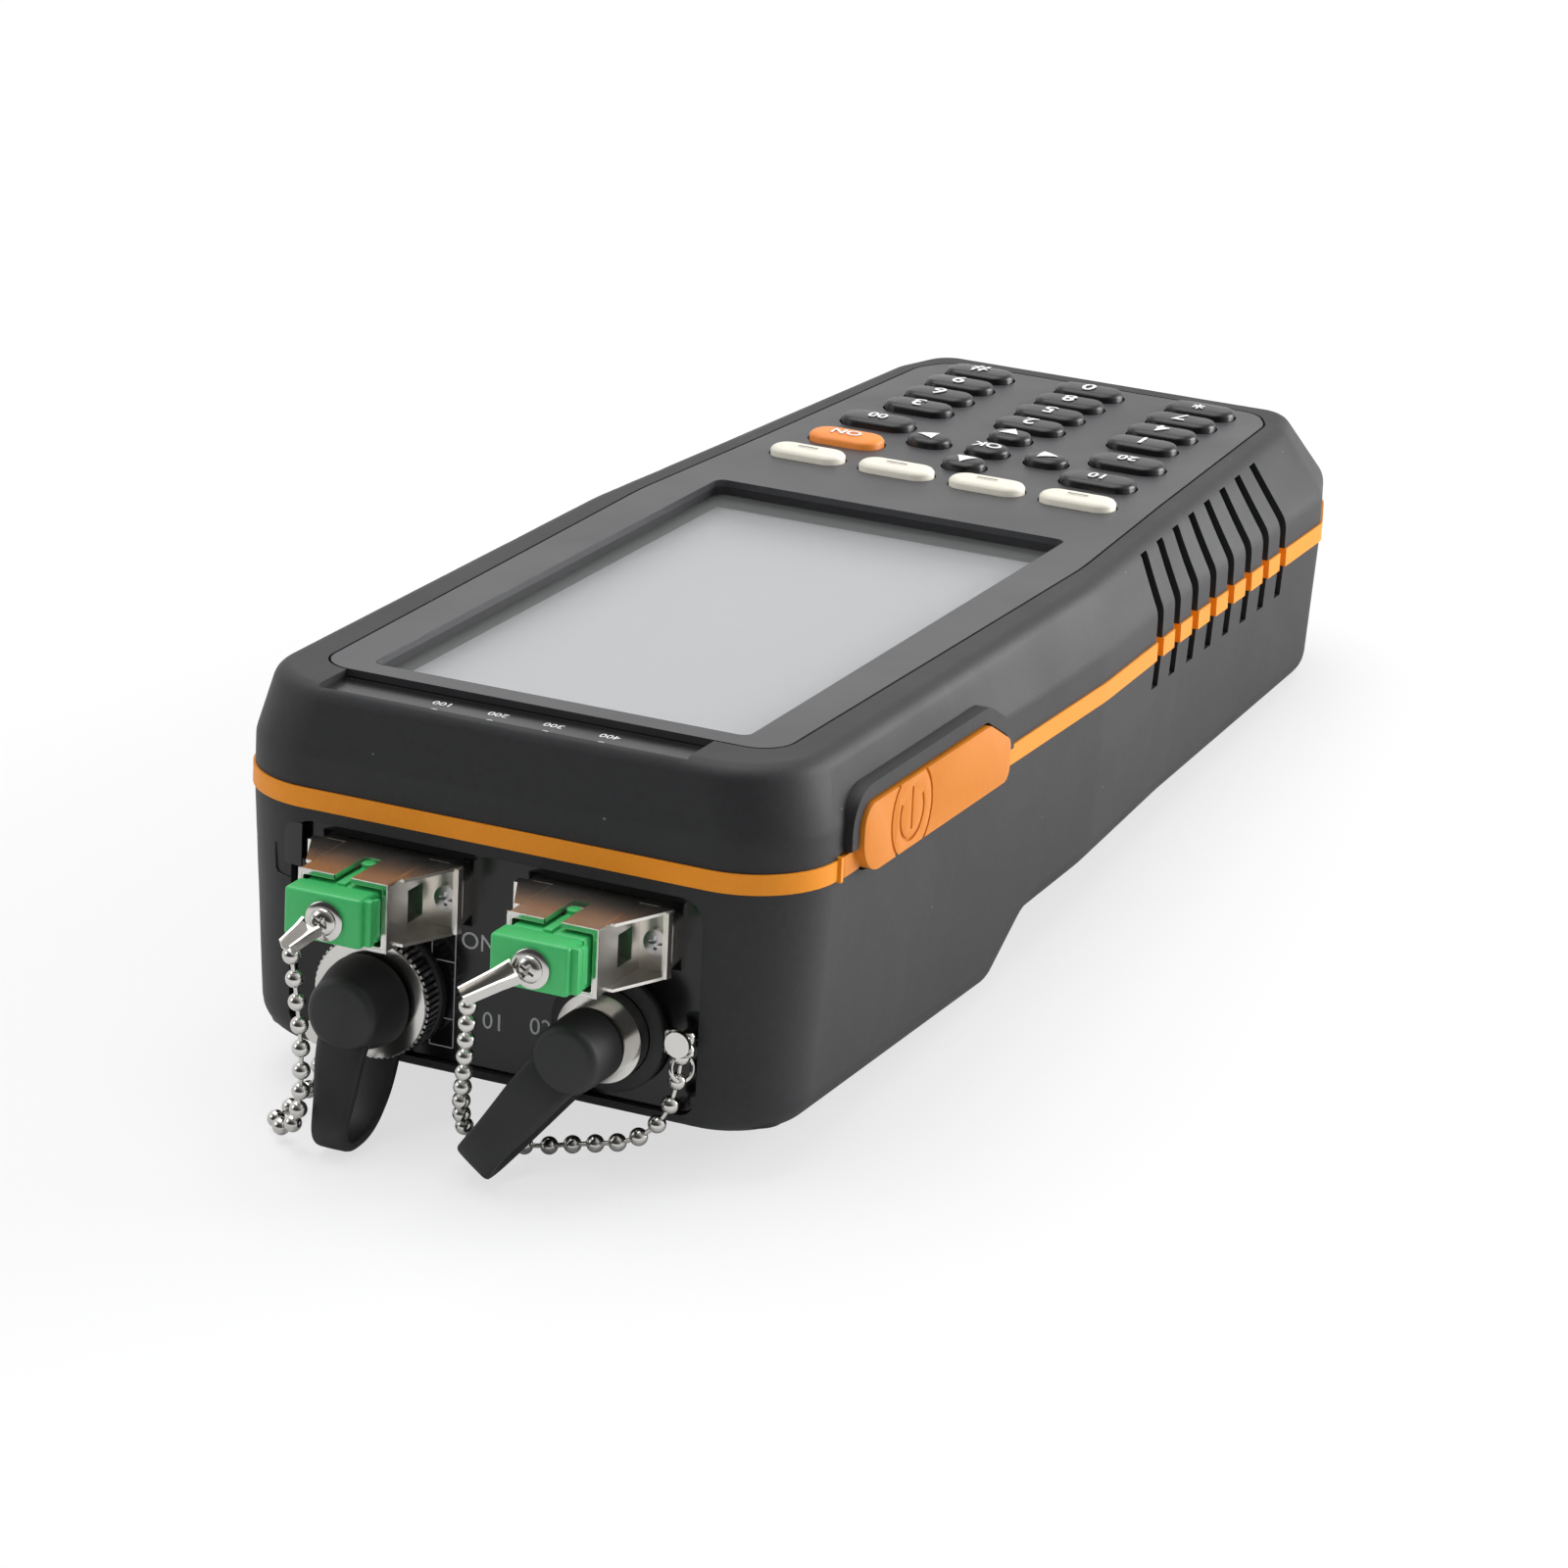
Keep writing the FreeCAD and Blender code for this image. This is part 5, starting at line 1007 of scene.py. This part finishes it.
for side, port in PORT.items():
    front = case_box(f"dust_plug_{side}")[0].y
    plug = Form()
    for low, high, round_by, steps in PLUG_STEPS:
        low, high = ((port.x + x, front + y, z) for x, y, z in (low, high))
        plug.block(low, high, round_by, steps)
    plug.turned(RAIL_PIN, (port.x, front + 11.2, -20.2), (0, 0, 1), 24)
    piece(f"plug_body_{side}", plug, f"plug_{side}", GREEN, replaces=[f"dust_plug_{side}"])
    eye = Vector((port.x, front, EYE_LEVEL))
    lug = Form().turned(EYELET, eye, (0, -1, 0), 40)
    head = cross_head(eye)
    end = LUG_ENDS[side] + Vector((0, front, 0))
    way = (end - eye).normalized()
    folded_arm(lug, eye + way * 1.9 + Vector((0, -0.2, 0)), end, Vector((0, -0.5, 1)), 1.35, 0.35, 1.5)
    lug.take(head)
    piece(f"plug_eyelet_{side}", lug, f"plug_{side}", BRIGHT_NICKEL,
          replaces=[f"plug_lug_{side}"])

# ---------------------------------------------------------------- round ports, caps and straps


TEETH = 60
KNURL_LONG = 3.0
TOOTH = 0.46


def knurl_tree():
    """Teeth side by side round a ring, made from a circle of points."""
    tree, given, ids = geometry_tree("knurled_edge",
                                     {"Radius": 0.0083, "Teeth": TEETH, "Tooth": 0.0006, "Long": 0.0018})
    circle = add(tree, "GeometryNodeMeshCircle")
    tooth = add(tree, "GeometryNodeMeshCube")
    sizes = add(tree, "ShaderNodeCombineXYZ")
    place = add(tree, "GeometryNodeInputPosition")
    facing = add(tree, "FunctionNodeAlignRotationToVector", axis="X")
    put = add(tree, "GeometryNodeInstanceOnPoints")
    both_kinds = add(tree, "GeometryNodeJoinGeometry")
    join(tree, (given.outputs["Teeth"], circle.inputs["Vertices"]),
         (given.outputs["Radius"], circle.inputs["Radius"]),
         (given.outputs["Tooth"], sizes.inputs[0]), (given.outputs["Tooth"], sizes.inputs[1]),
         (given.outputs["Long"], sizes.inputs[2]), (sizes.outputs[0], tooth.inputs["Size"]),
         (place.outputs[0], facing.inputs["Vector"]), (circle.outputs[0], put.inputs["Points"]),
         (tooth.outputs[0], put.inputs["Instance"]), (facing.outputs[0], put.inputs["Rotation"]),
         (put.outputs[0], both_kinds.inputs[0]))
    close_tree(tree, both_kinds.outputs[0], STEEL)
    return tree, ids


low, high = case_box("meter_ring")
METER = Vector(((low.x + high.x) / 2, 0, (low.z + high.z) / 2))
RING_FRONT, RING_BACK = low.y, high.y
RING_RADIUS = (high.x - low.x) / 2
# The toothed band overlaps its core by a little, so that no gap shows between the teeth.
CORE_RADIUS = RING_RADIUS - TOOTH + 0.05
CONE_LONG = RING_BACK - RING_FRONT - KNURL_LONG
tree, sizes = knurl_tree()
teeth = grown(tree, sizes, bpy.data.meshes.new("teeth"),
              {"Radius": RING_RADIUS - TOOTH / 2, "Teeth": TEETH, "Tooth": TOOTH, "Long": KNURL_LONG})
teeth.transform(Matrix.Translation((METER.x, RING_BACK - KNURL_LONG / 2, METER.z))
                @ Matrix.Rotation(math.pi / 2, 4, "X"))
# The core is near black where it shows between the teeth: painted shade in the grooves.
core = Form().turned([(0, 6.65), (0, CORE_RADIUS), (KNURL_LONG, CORE_RADIUS), (KNURL_LONG, 6.65)],
                     (METER.x, RING_BACK, METER.z), (0, -1, 0), 72)
piece("meter_ring_core", core, "root", KNURL_GROOVE_SHADE, angle=25)
piece("meter_ring_teeth", laid(teeth), "root", STEEL, angle=25)
cone = Form().turned([(0.0, 6.6), (0.0, RING_RADIUS - 0.3), (0.3, RING_RADIUS - 0.2),
                      (0.5, RING_RADIUS - 0.3), (CONE_LONG, 6.3), (CONE_LONG, 5.6)],
                     (METER.x, RING_BACK - KNURL_LONG, METER.z), (0, -1, 0), 96)
piece("meter_ring_cone", cone, "root", BRIGHT_NICKEL, replaces=["meter_ring"])

CAP_ROUND = 1.2
CAP_HOLLOW = 3.65
CAP_ROOF = 1.3


def round_cap(node, body, name, skirt, taper):
    """A turned rubber cap with a rounded front edge and a hollow back; returns the middle of its back."""
    low, high = case_box(node)
    centre = Vector(((low.x + high.x) / 2, high.y, (low.z + high.z) / 2))
    reach, wide = high.y - low.y, (high.x - low.x) / 2
    edge = [(reach - CAP_ROUND + CAP_ROUND * math.sin(a), wide * taper - CAP_ROUND + CAP_ROUND * math.cos(a))
            for a in (i * math.pi / 10 for i in range(6))]
    foot = wide + skirt
    inside = [(reach - CAP_ROOF, 0.0), (reach - CAP_ROOF, CAP_HOLLOW), (0, CAP_HOLLOW)]
    rim = [(0, foot - 0.3), (0.3, foot), (1.6, foot - skirt * 0.15)]
    cap = Form().turned(inside + rim + edge + [(reach, 0.0)], centre, (0, -1, 0), 64)
    piece(name, cap, body, RUBBER, replaces=[node])
    return centre


METER_AXIS = round_cap("meter_cap", "cap_meter", "meter_cap_skin", 0.85, 0.93)
FAULT_AXIS = round_cap("fault_cap", "cap_fault", "fault_cap_skin", 0.1, 1.0)
RIBBON_SIDES = 16
WASHER_SIDES = 64
WASHER_WIDE = 2.05
STRAP_THICK = 1.6


def ribbon_ring(point, across, out, half):
    """The ribbon's section round a point: a flat oval with full corners."""
    ring = []
    for step in range(RIBBON_SIDES):
        angle = 2 * math.pi * step / RIBBON_SIDES
        wide, high = math.cos(angle), math.sin(angle)
        ring.append(point + across * half * math.copysign(abs(wide) ** 0.35, wide)
                    + out * STRAP_THICK / 2 * math.copysign(abs(high) ** 0.5, high))
    return ring


def rubber_strap(node, axis, tilt, run, widths, hole):
    """A moulded ribbon from a cap's front round its loop to the washer at the port's foot."""
    down = Vector((-math.sin(math.radians(tilt)), 0, -math.cos(math.radians(tilt))))
    across = Vector((0, 1, 0)).cross(down)
    line = bent_line([Vector((axis.x, y, axis.z)) + down * reach for y, reach in run], 0.6)
    rings = []
    total = len(line) - 1
    for i, point in enumerate(line):
        ahead = (line[min(i + 1, total)] - line[max(i - 1, 0)]).normalized()
        share = i / total * (len(widths) - 1)
        k = min(int(share), len(widths) - 2)
        half = (widths[k] + (widths[k + 1] - widths[k]) * (share - k)) / 2
        rings.append(ribbon_ring(point, across, ahead.cross(across).normalized(), half))
    form = Form().stack(rings)
    foot = Vector((axis.x, PLATE_FACE - 0.02, axis.z))
    outer, inner = hole / 2 + WASHER_WIDE, hole / 2 + 0.1
    profile = [(0, inner), (0, outer - 0.2), (0.2, outer), (STRAP_THICK - 0.2, outer),
               (STRAP_THICK, outer - 0.2), (STRAP_THICK, inner)]
    washer = [[foot + Vector((math.cos(a) * r, -d, math.sin(a) * r)) for d, r in profile]
              for a in (2 * math.pi * i / WASHER_SIDES for i in range(WASHER_SIDES))]
    form.skin([[form.bm.verts.new(p) for p in ring] for ring in washer], closed=True)
    strap = piece(f"{node}_skin", form, None, RUBBER, replaces=[node],
                  angle=50)
    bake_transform(strap)


# Each strap's route: how far its points lie along the port's axis, and how far they hang from that axis.
METER_RUN = [(-8.6, 1.0), (-10.4, 3.4), (-11.6, 6.6), (-12.4, 10.7), (-14.0, 15.6), (-11.6, 17.7),
             (-5.8, 17.0), (-1.5, 12.8), (-0.2, 8.4)]
FAULT_RUN = [(-9.4, 0.5), (-11.0, 3.0), (-12.2, 6.4), (-12.6, 12.0), (-13.4, 18.6), (-10.6, 21.2),
             (-7.4, 19.0), (-2.6, 12.2), (0.7, 7.4)]
rubber_strap("meter_strap", METER_AXIS, 0.0, METER_RUN, (7.6, 6.6, 5.0, 4.6, 4.6, 5.2), 13.0)
rubber_strap("fault_strap", FAULT_AXIS, 37.0, FAULT_RUN, (7.4, 6.8, 5.6, 5.8, 5.8, 5.8), 12.0)

# ---------------------------------------------------------------- chain coupling at the post


def ring_of(form, centre, normal, radius, wire, sides=36, round_sides=10):
    """A closed wire ring."""
    normal = Vector(normal).normalized()
    side = normal.orthogonal().normalized()
    other = normal.cross(side)
    rings = []
    for i in range(sides):
        a = 2 * math.pi * i / sides
        out = side * math.cos(a) + other * math.sin(a)
        rings.append([form.bm.verts.new(Vector(centre) + out * (radius + wire * math.cos(b))
                                        + normal * wire * math.sin(b))
                      for b in (2 * math.pi * j / round_sides for j in range(round_sides))])
    form.skin(rings, closed=True)


TWO_BEADS = [(0, 0), (0, 0.75), (0.3, 0.95), (1.2, 0.95), (1.6, 0.7), (2.0, 0.95), (2.9, 0.95), (3.2, 0.7),
             (3.2, 0)]
coupling = Form()
ring_of(coupling, (27.2, -1.6, -39.6), (1, -0.5, 0.3), 1.7, 0.3)
ring_of(coupling, (26.6, -2.0, -36.2), (0.2, 1, 0.1), 1.6, 0.32)
for x in (25.6, 27.9):
    coupling.turned(TWO_BEADS, (x, -1.6, -34.6), (0.05, -0.1, -1), 24)
piece("chain_coupling", coupling, "root", BRIGHT_NICKEL)

# ---------------------------------------------------------------- side flap

FLAP_FACE = case_box("port_flap")[1].x
GROOVE_DEEP = 0.35
GROOVE_WIDE = 0.5
GROOVE_STEPS = 24
SIGN_MIDDLE = (31.0, -12.1)


def arc_groove(radius, first, last):
    """A curved bar that stands in the flap's face round the sign's middle, to cut a groove with."""
    rings = []
    for i in range(GROOVE_STEPS + 1):
        a = math.radians(first + (last - first) * i / GROOVE_STEPS)
        rings.append([Vector((x, SIGN_MIDDLE[0] + r * math.cos(a), SIGN_MIDDLE[1] + r * math.sin(a)))
                      for r, x in ((radius - GROOVE_WIDE / 2, FLAP_FACE - GROOVE_DEEP),
                                   (radius + GROOVE_WIDE / 2, FLAP_FACE - GROOVE_DEEP),
                                   (radius + GROOVE_WIDE / 2, FLAP_FACE + 1),
                                   (radius - GROOVE_WIDE / 2, FLAP_FACE + 1))])
    return Form().stack(rings)


flap = own_shape("port_flap")
bmesh.ops.transform(flap.bm, matrix=UNLAY, verts=flap.bm.verts)
stroke = Form().block((FLAP_FACE - GROOVE_DEEP, SIGN_MIDDLE[0] - GROOVE_WIDE / 2, -14.4),
                      (FLAP_FACE + 1, SIGN_MIDDLE[0] + GROOVE_WIDE / 2, -8.6))
flap_mesh = laid(carved(flap, arc_groove(6.2, 130, 410), arc_groove(3.6, 150, 390), stroke, bevel=0.12))
piece("port_flap_skin", flap_mesh, frame["nodes"]["port_flap"]["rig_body"], ORANGE_FLAP,
      replaces=["port_flap"], angle=30)
